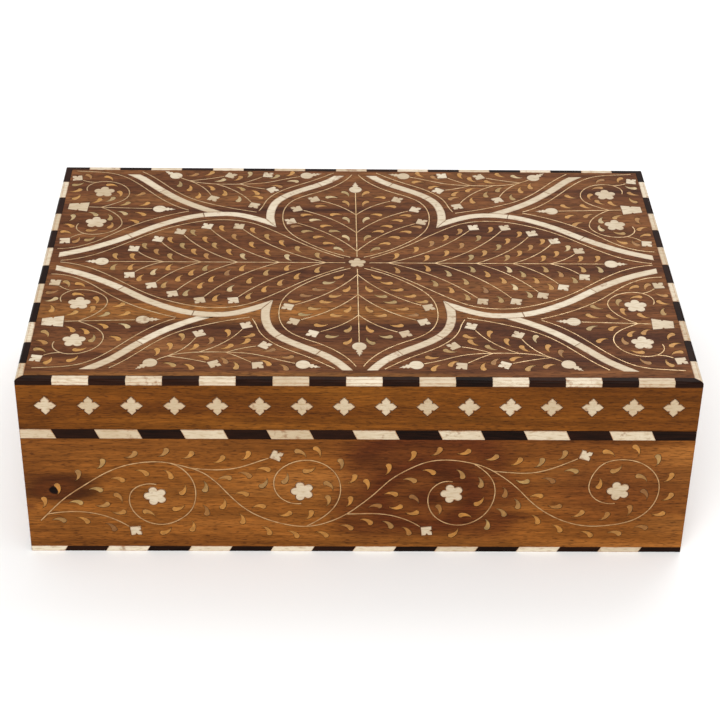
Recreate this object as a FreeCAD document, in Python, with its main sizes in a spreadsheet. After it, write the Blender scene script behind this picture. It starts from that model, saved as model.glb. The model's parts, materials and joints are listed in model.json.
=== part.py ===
"""Hinged sheesham box inlaid with bone, ebony, horn and wire, as a parametric document.

Frame: millimetres, +Z up, origin at the centre of the underside, front facing -Y.
Walls and rails are drawn in a side frame: x along the side as seen from outside,
y inwards from the outer face, z up. Ornament is drawn flat, x right and y up, and let
into the face that it shows on.
"""
import FreeCAD, Part
import math
import os
from types import SimpleNamespace

import Sketcher
from FreeCAD import Placement, Rotation, Vector

SIZES = {
    # Outside of the closed box
    "box_width": 305.0,
    "box_depth": 200.0,
    "base_height": 70.0,
    "lid_height": 26.7,
    "seam_gap": 0.3,
    # Boards
    "wall_thickness": 11.0,
    "floor_thickness": 6.0,
    "floor_lap": 5.0,
    "top_thickness": 8.0,
    "panel_clearance": 0.15,
    "lining_thickness": 1.5,
    "lining_clearance": 0.3,
    # Edging of bone and ebony tiles
    "lid_edging_width": 3.5,
    "lid_edging_height": 2.9,
    "lid_edging_round": 1.2,
    "rim_edging_width": 3.0,
    "rim_edging_height": 5.0,
    "foot_edging_width": 3.0,
    "foot_edging_height": 3.0,
    "rim_tile_slant": 2.2,
    "foot_tile_slant": 1.6,
    "lid_tiles_long": 19,
    "lid_tiles_short": 12,
    "base_tiles_long": 16,
    "base_tiles_short": 10,
    "lid_tile_cut": 3.75,
    "rim_tile_cut": 4.1,
    "foot_tile_cut": 2.9,
    # Butt hinges
    "hinge_spacing": 180.0,
    "hinge_length": 38.0,
    "hinge_leaf_reach": 8.0,
    "hinge_leaf_thickness": 1.2,
    "barrel_radius": 2.5,
    "barrel_clearance": 0.35,
    "knuckle_gap": 0.2,
    "pin_radius": 1.2,
    "pin_clearance": 0.05,
    "pin_head_thickness": 0.6,
    "pin_head_radius": 2.0,
    "mortise_clearance": 0.1,
    "stop_angle": 100.0,
    # Wood screws of the hinges
    "screw_spacing": 13.0,
    "screw_inset": 5.4,
    "screw_length": 8.0,
    "screw_shank_radius": 1.0,
    "screw_head_radius": 2.0,
    "screw_head_height": 1.0,
    "screw_slot_width": 0.5,
    "screw_slot_depth": 0.5,
    "screw_clearance": 0.05,
    # Inlay
    "inlay_depth": 1.2,
    "inlay_clearance": 0.1,
    "wire_width": 0.45,
    "wire_clearance": 0.14,
    "wire_spacing": 0.25,
    "wire_joint": 0.04,
    "band_width": 4.3,
    "band_joint": 0.25,
    "leaf_length": 6.8,
    "leaf_radius": 1.45,
    "blossom_side": 5.2,
    "flower_radius": 5.5,
    "rosette_radius": 4.4,
    "bud_radius": 3.4,
    "bud_tail": 5.2,
    "bloom_length": 10.2,
    "bloom_width": 9.4,
    "quatrefoil_size": 10.3,
    "quatrefoil_margin": 12.2,
    "quatrefoils_long": 16,
    "quatrefoils_short": 10,
    "quatrefoil_height": 12.8,
    "setting_drift": 2.4,
    "top_setting_shift": 2.2,
}

doc = FreeCAD.newDocument("inlaid_box")
sheet = doc.addObject("Spreadsheet::Sheet", "sizes")
for row, (alias, value) in enumerate(SIZES.items(), start=1):
    sheet.set(f"A{row}", alias)
    sheet.set(f"B{row}", str(value))
    sheet.setAlias(f"B{row}", alias)
doc.recompute()
size = SimpleNamespace(**{alias: float(getattr(sheet, alias)) for alias in SIZES})

lid_bottom = size.base_height + size.seam_gap
lid_top = lid_bottom + size.lid_height
hinge_y = size.box_depth / 2 - size.barrel_radius
hinge_z = size.base_height + size.seam_gap / 2
stop_slope = math.tan(math.radians(size.stop_angle / 2))
SPARE = 5.0  # how far a cutting tool runs past the face it opens

SUB_PARTS = []

LONG_SIDES = ("front", "back")
# Each side: its turn about Z, and its outer face's middle as expressions of the sheet
SIDES = {
    "front": (0, "0", "-sizes.box_depth / 2"),
    "right": (90, "sizes.box_width / 2", "0"),
    "back": (180, "0", "sizes.box_depth / 2"),
    "left": (270, "-sizes.box_width / 2", "0"),
}


def side_length(side):
    """Outer length of a side."""
    return size.box_width if side in LONG_SIDES else size.box_depth


def set_out(x, side):
    """Place along a side of ornament drawn at x: on a long side its middle sits a little to the right."""
    drift = size.setting_drift if side in LONG_SIDES else 0
    return x + drift * (1 - (2 * x / side_length(side)) ** 2)


def side_placement(side):
    """Placement of a side frame in the box."""
    turn = Rotation(Vector(0, 0, 1), SIDES[side][0])
    outward = turn.multVec(Vector(0, -1, 0))
    reach = size.box_depth / 2 if side in LONG_SIDES else size.box_width / 2
    return Placement(outward * reach, turn)


def keep(obj):
    """Mark a document object as a finished sub-part."""
    SUB_PARTS.append(obj)
    return obj


def feature(label, solids, placement=None, sub_part=True):
    """Add solids made by formula as one object of the document."""
    obj = doc.addObject("Part::Feature", label)
    obj.Label = label
    obj.Shape = Part.makeCompound(solids) if len(solids) > 1 else solids[0]
    if placement:
        obj.Placement = placement
    return keep(obj) if sub_part else obj


def block(label, side, along, inward, height, mitre=None):
    """Add a bound block in a side frame; a mitre shortens it at its inner face."""
    obj = doc.addObject("Part::Wedge", label)
    turn, offset_x, offset_y = SIDES[side]
    taper = mitre or "0"
    bounds = {
        "Xmin": f"-({along})", "Xmax": along, "X2min": f"-({along}) + {taper}", "X2max": f"{along} - {taper}",
        "Ymin": inward[0], "Ymax": inward[1],
        "Zmin": height[0], "Zmax": height[1], "Z2min": height[0], "Z2max": height[1],
        "Placement.Base.x": offset_x, "Placement.Base.y": offset_y,
    }
    obj.Placement = Placement(Vector(), Rotation(Vector(0, 0, 1), turn))
    for prop, expression in bounds.items():
        obj.setExpression(prop, expression)
    return obj


def cut(label, base, tools):
    """Cut tools from a base one after the other and name the last result."""
    for number, tool in enumerate(tools, start=1):
        obj = doc.addObject("Part::Cut", label if number == len(tools) else f"{label}_step_{number}")
        obj.Base = base
        obj.Tool = tool
        base = obj
    base.Label = label
    return base


# Flat outlines. A point of three values, the last VIA, is the middle of an arc.
VIA = True
STRAIGHT = 0.003  # an arc flatter than this is drawn as a line


def face_from(points):
    """Planar face inside a closed outline of lines and arcs."""
    corners = [Vector(point[0], point[1], 0) for point in points]
    count = len(corners)
    edges = []
    index = 0
    while index < count:
        if len(points[(index + 1) % count]) == 3:
            arc = Part.Arc(corners[index], corners[(index + 1) % count], corners[(index + 2) % count])
            edges.append(arc.toShape())
            index += 2
        else:
            edges.append(Part.LineSegment(corners[index], corners[(index + 1) % count]).toShape())
            index += 1
    return Part.Face(Part.Wire(edges))


def placed(points, at, heading, flip=1):
    """Turn a local outline, drawn heading along +x, to a heading vector at a place."""
    along = Vector(heading[0], heading[1], 0).normalize()
    across = Vector(-along.y, along.x, 0) * flip
    result = []
    for point in points:
        spot = Vector(at[0], at[1], 0) + along * point[0] + across * point[1]
        result.append((spot.x, spot.y, *point[2:]))
    return result


def leaf_outline(grow):
    """Comma leaf: a round head, and a tail that bends to the left of its heading."""
    length = size.leaf_length + 2 * grow
    radius = size.leaf_radius + grow
    head = length / 2 - radius
    return [
        (head, -radius), (length / 2, 0, VIA), (head, radius),
        (-0.06 * length, 0.3 * radius, VIA), (-length / 2, 0.95 * radius),
        (-0.15 * length, -0.7 * radius, VIA),
    ]


def notched(corners, sides, half_width, depth):
    """Polygon with a V notch in the middle of the given sides."""
    points = []
    for index, corner in enumerate(corners):
        points.append(corner)
        if index not in sides:
            continue
        start, end = Vector(*corner, 0), Vector(*corners[(index + 1) % len(corners)], 0)
        along = (end - start).normalize()
        inward = Vector(-along.y, along.x, 0)
        middle = (start + end) / 2
        for spot in (middle - along * half_width, middle + inward * depth, middle + along * half_width):
            points.append((spot.x, spot.y))
    return points


def blossom_outline(grow):
    """Square blossom with its stem corner at the origin and notches in the two far sides."""
    reach = size.blossom_side / math.sqrt(2)
    out = grow * math.sqrt(2)
    corners = [(-out, 0), (reach, -reach - out), (2 * reach + out, 0), (reach, reach + out)]
    return notched(corners, (1, 2), 0.11 * size.blossom_side, 0.2 * size.blossom_side)


def quatrefoil_outline(grow):
    """Square standing on a corner with a small notch in each side."""
    reach = size.quatrefoil_size / 2 + grow * math.sqrt(2)
    corners = [(-reach, 0), (0, -reach), (reach, 0), (0, reach)]
    return notched(corners, (0, 1, 2, 3), 0.06 * size.quatrefoil_size, 0.085 * size.quatrefoil_size)


def flower_outline(radius, grow):
    """Five broad petals, one of them along the heading."""
    petals = 5
    notch = 0.66 * radius + grow
    points = []
    for petal in range(petals):
        middle = 2 * math.pi * petal / petals
        start = middle - math.pi / petals
        points.append((notch * math.cos(start), notch * math.sin(start)))
        points.append(((radius + grow) * math.cos(middle), (radius + grow) * math.sin(middle), VIA))
    return points


def bud_outline(grow):
    """Round bud with its stem at the origin and a stepped point."""
    radius = size.bud_radius + grow
    neck = 0.36 * radius
    shoulder = radius * math.cos(math.asin(neck / radius))
    tail = size.bud_tail
    middle = size.bud_radius
    side = [
        (middle + shoulder, neck), (middle + shoulder + 0.26 * tail, 1.4 * neck),
        (middle + shoulder + 0.38 * tail, 0.62 * neck), (middle + shoulder + 0.58 * tail, 0.95 * neck),
        (middle + shoulder + 0.68 * tail, 0.4 * neck),
    ]
    tip = (middle + shoulder + tail + grow, 0)
    back = (middle - radius, 0, VIA)
    lower = [(x, -y) for x, y in side]
    return lower + [tip] + side[::-1] + [back]


def bloom_outline(grow):
    """Fan bloom, wide at the stem side, with a notch in its two long sides."""
    wide = size.bloom_width / 2 + grow
    narrow = 0.62 * wide
    corners = [(-grow, wide), (-grow, -wide), (size.bloom_length + grow, -narrow), (size.bloom_length + grow, narrow)]
    return notched(corners, (1, 3), 0.06 * size.bloom_width, 0.1 * size.bloom_width)


class Path:
    """Smooth centre line through points chosen by hand."""

    def __init__(self, points):
        spots = [Vector(x, y, 0) for x, y in points]
        if len(spots) == 2:
            spots.insert(1, (spots[0] + spots[1]) / 2)
        self.spots = spots
        self.curve = Part.BSplineCurve()
        self.curve.interpolate(spots)

    def samples(self, count):
        """Points and headings at even steps of the curve's parameter."""
        first, last = self.curve.FirstParameter, self.curve.LastParameter
        steps = [first + (last - first) * step / (count - 1) for step in range(count)]
        return [(self.curve.value(step), self.curve.tangent(step)[0]) for step in steps]

    def nearest(self, point):
        """Place on the curve nearest to a point."""
        spot = self.curve.value(self.curve.parameter(Vector(*point, 0)))
        return (spot.x, spot.y)

    def end_heading(self):
        """Heading at the last point."""
        return self.curve.tangent(self.curve.LastParameter)[0]

    def start_heading(self):
        """Heading away from the curve at the first point."""
        return self.curve.tangent(self.curve.FirstParameter)[0] * -1

    def strip(self, width, grow, rooted=False):
        """Flat strip of a width along the path, its long sides as chains of arcs; a root doesn't grow."""
        samples = self.samples(2 * len(self.spots) - 1)
        half = width / 2 + grow
        ends = {0: 0 if rooted else -1, len(samples) - 1: 1}
        sides = {1: [], -1: []}
        for index, (spot, heading) in enumerate(samples):
            normal = Vector(-heading.y, heading.x, 0)
            for side, spots in sides.items():
                spots.append(spot + heading * ends.get(index, 0) * grow + normal * side * half)
        points = []
        for spots in (sides[1], sides[-1][::-1]):
            for index, spot in enumerate(spots):
                if index % 2 == 0:
                    points.append((spot.x, spot.y))
                elif spot.distanceToLine(spots[index - 1], spots[index + 1] - spots[index - 1]) > STRAIGHT:
                    points.append((spot.x, spot.y, VIA))
        return face_from(points)


class Inlay:
    """Pieces let into one face, with a pocket for each."""

    def __init__(self):
        self.pieces = {}
        self.pockets = []

    def add(self, group, make_face):
        """Add a piece from a function that draws its face with a given growth."""
        self.pieces.setdefault(group, []).append(self.sunk(make_face(0), 0))
        self.pockets.append(self.sunk(make_face(size.inlay_clearance), SPARE))

    def motif(self, group, outline, at, heading, flip=1):
        """Add a motif drawn by an outline function."""
        self.add(group, lambda grow: face_from(placed(outline(grow), at, heading, flip)))

    def wire(self, points, parent=None):
        """Add a wire stem; one that leaves a parent is rooted on it and fitted against its side."""
        root = parent.nearest(points[0]) if parent else points[0]
        path = Path([root] + points[1:])
        piece = self.sunk(path.strip(size.wire_width, 0), 0)
        if parent:
            piece = piece.cut(self.sunk(parent.strip(size.wire_width, size.wire_joint), SPARE))
        self.pieces.setdefault("stems", []).append(max(piece.Solids, key=lambda solid: solid.Volume))
        pocket = path.strip(size.wire_width, size.wire_clearance, rooted=parent is not None)
        self.pockets.append(self.sunk(pocket, SPARE))
        return path

    @staticmethod
    def sunk(face, proud):
        """Solid from the inlay's floor up to the surface, or proud of it for a cutting tool."""
        face = face.translated(Vector(0, 0, -size.inlay_depth))
        return face.extrude(Vector(0, 0, size.inlay_depth + proud))


class Mirror:
    """One of the mirrored copies of a drawing, scaled from its drawn size to a field or a side."""

    def __init__(self, sign_x=1, sign_y=1, scale_x=1.0, scale_y=1.0, side=None):
        self.sign = (sign_x, sign_y)
        self.scale = (sign_x * scale_x, sign_y * scale_y)
        self.side = side

    def spot(self, point):
        """Place of a drawn point."""
        x, y = point[0] * self.scale[0], point[1] * self.scale[1]
        return (set_out(x, self.side) if self.side else x, y)

    def spots(self, points):
        """Places of drawn points."""
        return [self.spot(point) for point in points]

    def heading(self, degrees):
        """Direction of a drawn angle."""
        angle = math.radians(degrees)
        return (self.sign[0] * math.cos(angle), self.sign[1] * math.sin(angle))

    @property
    def flip(self):
        """Whether this copy turns shapes over."""
        return self.sign[0] * self.sign[1]


def sprout(inlay, points, parent=None, group="blossoms", outline=blossom_outline):
    """Add a wire that carries a motif at its end."""
    path = inlay.wire(points, parent)
    heading = path.end_heading()
    tip = path.spots[-1] + heading * size.wire_spacing
    inlay.motif(group, outline, (tip.x, tip.y), (heading.x, heading.y))
    return path


# Ornament of the lid top: one quarter, drawn from the middle of a field of this half size
TOP_DRAWN = (151.0, 98.0)
BAND_LONG = [(156, 2.5), (146, 6.8), (136, 11), (124, 18), (113, 26), (102, 35), (91, 42), (81, 46.5),
             (71.3, 48.2), (61, 47.8), (52.4, 44.4), (45.8, 40.6), (38.5, 36.3)]
BAND_JOIN = [(69, 48.5), (83, 56.7), (92, 63.7), (100, 71.7), (107, 79.7), (113, 86.7), (120.5, 93), (130, 101)]
BAND_SHORT = [(42.6, 33), (43.4, 39.5), (44, 46), (43.6, 53), (41.6, 60.5), (36.9, 67.4), (29.3, 73.7),
              (20.3, 79.7), (12.8, 85.7), (6.3, 94), (3, 100)]
BAND_MITRE = ((43.3, 39.1), 57.1)
BAND_LIMIT = (147.5, 93)
LONG_OUTLINE = [(146, 0.8), (139.5, 2.3), (133.3, 4.8), (123.3, 11.3), (113.3, 19.8), (103.3, 28.3), (93.3, 34.8),
                (83.3, 39.3), (73.3, 42), (63.3, 42.1), (53.3, 39.3), (45.3, 34), (33.3, 23.8), (23.3, 15.3),
                (13.3, 8.3), (6.6, 4.4)]
LONG_BRANCHES = [(15.3, (57.3, 32.5)), (38.3, (73.6, 32.3)), (58.8, (87, 26.6)), (76.8, (97.6, 19)),
                 (95.3, (108.6, 9.6))]
LONG_LEAVES = [(19.3, 6.4), (29.3, 12.7), (37.3, 18.7), (44.8, 24.7), (52.2, 31.2),
               (34.3, 4.6), (44.3, 9.3), (52.3, 16.8), (61.3, 24.5), (68, 33.2),
               (56.3, 5.2), (63.3, 9.6), (70.8, 15.7), (75.8, 21.7), (82.3, 28.7),
               (74.3, 5.2), (80.8, 9.6), (86.8, 15.3), (93.3, 21.3),
               (92.3, 4.8), (99.3, 9.3), (105.6, 15),
               (110.8, 4.6), (119.3, 4.8)]
LONG_LEAF_HEADING = 76
LONG_RIB = [(6, 0), (122, 0)]
SHORT_OUTLINE = [(3.4, 5.4), (16, 12.2), (25.7, 20.2), (32.4, 27.7), (36.2, 35.5), (37.6, 44.7), (36.9, 53.7),
                 (34, 61), (27.3, 67.7), (17.6, 73.7), (9.3, 80.7), (4, 87.5), (1.7, 92)]
SHORT_BRANCHES = [(11.2, (30, 39.4)), (29.7, (27, 52.6)), (48.2, (18, 63))]
SHORT_LEAVES = [(8.7, 13.2, 35), (13.7, 18.9, 8), (18.7, 25.4, -6), (24.7, 31, -6), (30.2, 36.2, -6),
                (4.9, 24.6, 56), (10.7, 31.2, 7), (15.2, 36.7, -6), (20.7, 42.7, -4), (25.2, 48, -4),
                (4.6, 43, 58), (10.2, 48.7, -8), (17.7, 57.4, -4),
                (4.6, 60.5, 58), (12.4, 67, 0), (4.8, 71, 50)]
SHORT_RIB = [(0, 6), (0, 71.7)]
SPRIG_OUTLINES = [
    [(113.3, 94), (103.3, 83.7), (93.3, 71.7), (83.3, 63.2), (73.3, 58.2), (63.3, 54.2), (53.3, 51.2), (51.3, 50.6)],
    [(50, 52), (48.5, 55.7), (46.5, 62.7), (42.5, 69.7), (34.5, 77.2), (24.5, 83.7), (16.5, 89.7), (11.3, 94)],
]
SPRIG_STEM = [(92.3, 87.2), (84.3, 82.7), (73.3, 80.7), (60.3, 80.7), (48.3, 82.2), (38.3, 86.2), (29.3, 89.6)]
SPRIG_BRANCHES = [
    [(87.6, 84.5), (80.7, 77.6), (75.6, 68.6)],
    [(73.5, 80.7), (60.7, 70.7), (54.4, 61.2)],
    [(60.7, 80.7), (53.4, 77.2), (47.4, 75.5)],
    [(87.2, 84.9), (78.6, 86.2), (69.8, 89)],
    [(61.4, 80.7), (54.5, 85), (49.4, 88.8)],
]
SPRIG_LEAVES = [(81.9, 68.2, -78), (87, 76.2, -83), (92.6, 80.6, -87), (76, 76.8, -122), (68.6, 71.3, -96),
                (60.8, 64.6, -81), (51.3, 66.9, -153), (52.6, 72, -125), (60.6, 76.2, -137), (41.6, 79, -159),
                (33.2, 84.4, -174), (71.5, 84.6, 150), (61.9, 87, 120), (42.6, 88.9, 131), (34.4, 92.4, 122),
                (86.2, 90.6, 150), (77.4, 92.2, 130), (56.2, 91.4, 95)]
CORNER_OUTLINES = [
    [(149, 12.2), (138.3, 14.7), (128.3, 21.7), (118.3, 31.7), (108.3, 39.7), (98.3, 45.7), (86, 51.1)],
    [(86.3, 52.3), (94.3, 57.6), (103.3, 66.7), (111.3, 76.7), (118.3, 84.7), (126.3, 90.7), (136.3, 93.2),
     (148, 94.2)],
]
CORNER_STEM = [(137.8, 55), (105, 53.5)]
CORNER_SPIRALS = [
    ([(131.5, 54.7), (125.3, 49.9), (120.8, 43.7), (119.3, 37.2), (123.3, 30.2), (130.3, 26.9), (137.3, 27.5),
      (141.4, 31.7), (141.2, 37.6)], (132.6, 39)),
    ([(131.5, 54.7), (124.6, 59), (119.3, 64.7), (118.3, 71), (121.3, 77.7), (128.3, 82.2), (136.3, 81.7),
      (140.6, 76.9), (140.4, 72.4)], (131.5, 71.3)),
]
CORNER_BRANCHES = [
    [(137.3, 27.5), (141, 25.7), (143.7, 23.2)],
    [(136.3, 81.7), (140.6, 82.2), (143.9, 83.9)],
]
CORNER_LEAVES = [(145, 43.8, 92), (134.9, 48, -138), (126, 44.4, -96), (120, 49.2, -141), (110.6, 48.4, -146),
                 (134.2, 61.4, 128), (127.4, 63, 124), (119.6, 58.4, 140), (109.4, 58.2, 140), (145, 65.4, -51),
                 (146.2, 72.4, 146), (123, 69.5, 73), (112.8, 68.9, 146), (146, 79.4, -18), (128, 78.8, 10),
                 (141, 88.2, 58), (130.2, 86.8, 37),
                 (140.2, 21, -58), (146.4, 28.8, 18), (146, 36, -146), (133.6, 22, -30), (133.6, 31, -10),
                 (124.6, 36, -73), (113.6, 40.6, -146)]

# Ornament of a base wall: drawn on the front, x from its middle and y up from the underside
WALL_DRAWN = (152.5, 70.0)
VINE_FIRST = [(-147, 18), (-144, 21.5), (-135, 31.5), (-127, 38), (-119, 44), (-110, 49), (-100, 51.7), (-91, 52),
              (-81, 49.5), (-73, 46), (-67, 40.5)]
VINE_MIDDLE = [(-60, 31.5), (-52, 23.5), (-43, 18.5), (-33, 15.5), (-25, 15), (-15, 18), (-8, 22), (0, 29), (5, 34),
               (12, 42), (20, 48), (29, 52.5), (38, 53.7), (47, 52.5), (55, 50), (63, 45)]
VINE_LAST = [(71, 38), (79, 29), (87, 22.5), (97, 17.5), (107, 15.5), (117, 16.2), (128, 19.5), (135, 26), (138, 34),
             (137.5, 42), (133, 49), (126, 53.2), (119, 54.2), (111, 52), (106.5, 46), (104.8, 39), (107, 33),
             (112, 29.5), (118, 29)]
SPIRAL_FIRST = [(-88, 51), (-81, 47), (-77.5, 41), (-76.5, 33), (-78.5, 25), (-84, 19), (-91, 16), (-98, 17),
                (-104, 22), (-106.5, 29), (-105, 35.5), (-100, 39), (-94, 39.2)]
SPIRALS_MIDDLE = [
    [(-26.5, 15.5), (-19, 20), (-13, 27), (-10.5, 36), (-12.5, 45), (-19, 51.5), (-27, 53.3), (-35, 50.5), (-40, 45),
     (-41, 39), (-39, 33), (-34, 29), (-28.5, 28.4)],
    [(50, 51.8), (56, 47), (60, 41), (61, 34), (59, 26), (54, 19.5), (46, 16), (39, 17), (33, 21.5), (30, 29),
     (31, 36), (35, 40.4), (41, 41.2)],
]
TWIG_FIRST = [(-143.5, 21.5), (-135, 23.2), (-125, 22.8), (-116, 20), (-107.4, 14.6)]
TWIGS_MIDDLE = [
    [(-79, 49), (-68, 47.7), (-58, 48.7), (-49, 52), (-43.2, 54.4)],
    [(-7, 21.5), (-1, 22.5), (9, 22.3), (19, 19.5), (26.8, 14.8)],
]
TWIG_LAST = [(60, 48), (69, 46.5), (79, 46.7), (89, 50), (98.4, 54.6)]
FLOWER_FIRST = (-94.7, 32.5)
FLOWERS_MIDDLE = [(-28, 35.5), (41, 34.3)]
FLOWER_LAST = (119, 36.2)
LEAVES_FIRST = [(-144.7, 28.5, 90), (-138, 36.4, 100), (-128.7, 44.2, 85), (-118, 50.6, 67), (-104.3, 55.6, 39),
                (-90, 57, 52), (-79, 55.6, 44), (-111, 42.2, -19), (-99.8, 46.3, -34), (-88.2, 45.2, -62),
                (-121.2, 36.3, -13), (-111, 31.5, 128), (-130.5, 28.8, -11), (-118.5, 27, 19), (-111.5, 22.8, 10),
                (-138.7, 18.5, -13), (-127.7, 18.6, -38), (-115.4, 14.6, -53), (-81.8, 36, -119), (-97.8, 22.6, 158),
                (-84.3, 25.5, -163), (-90.5, 11.8, -152), (-78.3, 14.8, -103), (-72, 38, -96), (-72, 24.3, -83)]
LEAVES_MIDDLE = [(-65.2, 53.2, 44), (-53.2, 55.4, 60), (-63.9, 28, -111), (-55.7, 19.4, -84), (-63.2, 43, 0),
                 (-53.8, 45.2, -31), (-55.5, 34.1, -13), (-45.5, 48.2, -11), (-45.2, 40, -129), (-48, 26.6, 0),
                 (-35.4, 42.7, -116), (-24.7, 47.6, -164), (-15.6, 38.8, 137), (-16.2, 30, 93), (-24.7, 21.4, 67),
                 (-35.8, 21.9, 22), (-44.2, 12.6, -61), (-32, 10.6, -45), (-18.7, 10.6, -33), (-7.3, 14.8, -29),
                 (1.8, 18.2, -34), (11.8, 16.4, -48), (20.6, 12.6, -58), (43, 11, -137), (-28.5, 57.4, 152),
                 (-20.8, 58.2, 122), (-10.4, 51, 100), (-5, 42.4, 63), (1.7, 39.5, 107), (-6.3, 29.4, 78),
                 (11.2, 48.2, 87), (22, 55.5, 72), (33.2, 58, 52), (45.7, 57.8, 24), (21.3, 42.3, -18),
                 (30, 47.2, -24), (44.6, 45.9, -63), (12.8, 34.2, -10), (24, 31.2, 140), (5.5, 27, 0), (15.2, 26.2, 13),
                 (22.8, 22.9, 9), (35.4, 24.8, 103), (47.8, 21.6, 175), (54, 41, -84), (54.2, 29.7, -137),
                 (58.3, 16.4, -90), (65.6, 35.3, -88), (64.7, 23.8, -52), (58.7, 54.7, 27)]
LEAVES_LAST = [(71.8, 28.7, -79), (81.3, 19.6, -65), (91.8, 14.4, -50), (106.2, 11.1, -34), (119.5, 11.6, -16),
               (131.8, 15, -12), (139.4, 22.7, 13), (143, 32.5, 49), (142.4, 43.8, 62), (136, 54, 98),
               (125.7, 59.8, 124), (112.8, 58, 161), (91.4, 56.2, 65), (81, 52, 63), (70.3, 52.5, 47),
               (96, 47.8, -11), (85.8, 42.6, -28), (73.5, 41.5, 1), (80.5, 33.2, -3), (89.7, 27, 6), (101.2, 22.4, 38),
               (113.8, 21, 54), (125.3, 24.8, 90), (132, 34.5, 124), (129.5, 44, 155), (117.2, 48.6, -149),
               (109.8, 40.6, -101)]
# A short wall joins the first and last stretches of the long one, spread over its length
SHORT_WALL_SHIFT = -135.2
SHORT_WALL_MIDDLE = -70.0
SHORT_WALL_SPREAD = 1.17
SHORT_WALL_DRAWN = 100.0


def bands(inlay, copy):
    """Bone bands of one quarter, in butted lengths, and the groove they lie in."""
    limit = Mirror(1, 1, *TOP_FIELD_SCALE).spot(BAND_LIMIT)
    corner = Vector(-limit[0], -limit[1] - size.top_setting_shift, -1.5 * SPARE)
    field = Part.makeBox(2 * limit[0], 2 * limit[1], 3 * SPARE, corner)
    paths = {name: Path(copy.spots(points)) for name, points in (
        ("long", BAND_LONG), ("join", BAND_JOIN), ("short", BAND_SHORT))}
    corner, degrees = BAND_MITRE
    corner = copy.spot(corner)
    along = copy.heading(degrees)
    reach = 4 * size.band_width

    def strip(name, grow, proud):
        """One whole band inside the field."""
        return Inlay.sunk(paths[name].strip(size.band_width, grow), proud).common(field)

    def beside(sign, gap):
        """Block on one side of the mitre where two bands meet."""
        face = face_from(placed([(-reach, gap), (reach, gap), (reach, reach), (-reach, reach)],
                                corner, along, sign * copy.flip))
        return Inlay.sunk(face, SPARE)

    half_joint = size.band_joint / 2
    long_band = strip("long", 0, 0)
    pieces = [long_band.cut(beside(1, -half_joint)),
              strip("join", 0, 0).cut(strip("long", size.band_joint, SPARE)),
              strip("short", 0, 0).cut(beside(-1, -half_joint))]
    joints = [("long", 0.36), ("long", 0.68), ("join", 0.5), ("short", 0.42), ("short", 0.7)]
    saws = []
    for name, share in joints:
        curve = paths[name].curve
        step = curve.FirstParameter + share * (curve.LastParameter - curve.FirstParameter)
        spot, heading = curve.value(step), curve.tangent(step)[0]
        half = size.band_width
        saw = [(-half_joint, -half), (half_joint, -half), (half_joint, half), (-half_joint, half)]
        saws.append(Inlay.sunk(face_from(placed(saw, (spot.x, spot.y), (heading.x, heading.y))), SPARE))
    solids = []
    for piece in pieces:
        solids += piece.cut(saws).Solids
    inlay.pieces.setdefault("bands", []).extend(solids)
    grown = size.inlay_clearance
    grooves = [strip("long", grown, SPARE).cut(beside(1, grown)), strip("join", grown, SPARE),
               strip("short", grown, SPARE).cut(beside(-1, grown))]
    return grooves[0].fuse(grooves[1:])


TOP_FIELD_SCALE = (
    (size.box_width / 2 - size.lid_edging_width) / TOP_DRAWN[0],
    (size.box_depth / 2 - size.lid_edging_width) / TOP_DRAWN[1],
)


def bowed(root, tip, bow):
    """Branch from a root to a tip that bows to the right of its way by a share of its length."""
    way = (tip[0] - root[0], tip[1] - root[1])
    middle = ((root[0] + tip[0]) / 2 + way[1] * bow, (root[1] + tip[1]) / 2 - way[0] * bow)
    return [root, middle, tip]


BRANCH_BOW = 0.07


def top_quarter(inlay, copy, ribs):
    """Everything of one quarter of the lid top but its bands."""
    for points in [LONG_OUTLINE, SHORT_OUTLINE] + SPRIG_OUTLINES + CORNER_OUTLINES:
        inlay.wire(copy.spots(points))
    for root, tip in LONG_BRANCHES:
        sprout(inlay, copy.spots(bowed((root, 0), tip, BRANCH_BOW)), ribs["long"])
    for root, tip in SHORT_BRANCHES:
        sprout(inlay, copy.spots(bowed((0, root), tip, -BRANCH_BOW)), ribs["short"])
    for x, y in LONG_LEAVES:
        inlay.motif("leaves", leaf_outline, copy.spot((x, y)), copy.heading(LONG_LEAF_HEADING), copy.flip)
    for x, y, degrees in SHORT_LEAVES:
        inlay.motif("leaves", leaf_outline, copy.spot((x, y)), copy.heading(degrees), -copy.flip)
    for x, y, degrees in SPRIG_LEAVES + CORNER_LEAVES:
        bend = copy.flip if degrees < 0 else -copy.flip
        inlay.motif("leaves", leaf_outline, copy.spot((x, y)), copy.heading(degrees), bend)
    stem = sprout(inlay, copy.spots(SPRIG_STEM), None, "buds", bud_outline)
    start, back = stem.spots[0], stem.start_heading()
    bud = start + back * size.wire_spacing
    inlay.motif("buds", bud_outline, (bud.x, bud.y), (back.x, back.y))
    for points in SPRIG_BRANCHES:
        sprout(inlay, copy.spots(points), stem)
    stem = sprout(inlay, copy.spots(CORNER_STEM), None, "buds", bud_outline)
    start, back = stem.spots[0], stem.start_heading()
    bloom = start + back * size.wire_spacing
    inlay.motif("buds", bloom_outline, (bloom.x, bloom.y), (back.x, back.y))
    for (points, flower), branch in zip(CORNER_SPIRALS, CORNER_BRANCHES):
        spiral = inlay.wire(copy.spots(points), stem)
        inlay.motif("blossoms", lambda grow: flower_outline(size.flower_radius, grow), copy.spot(flower), (0, 1))
        sprout(inlay, copy.spots(branch), spiral)


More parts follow.
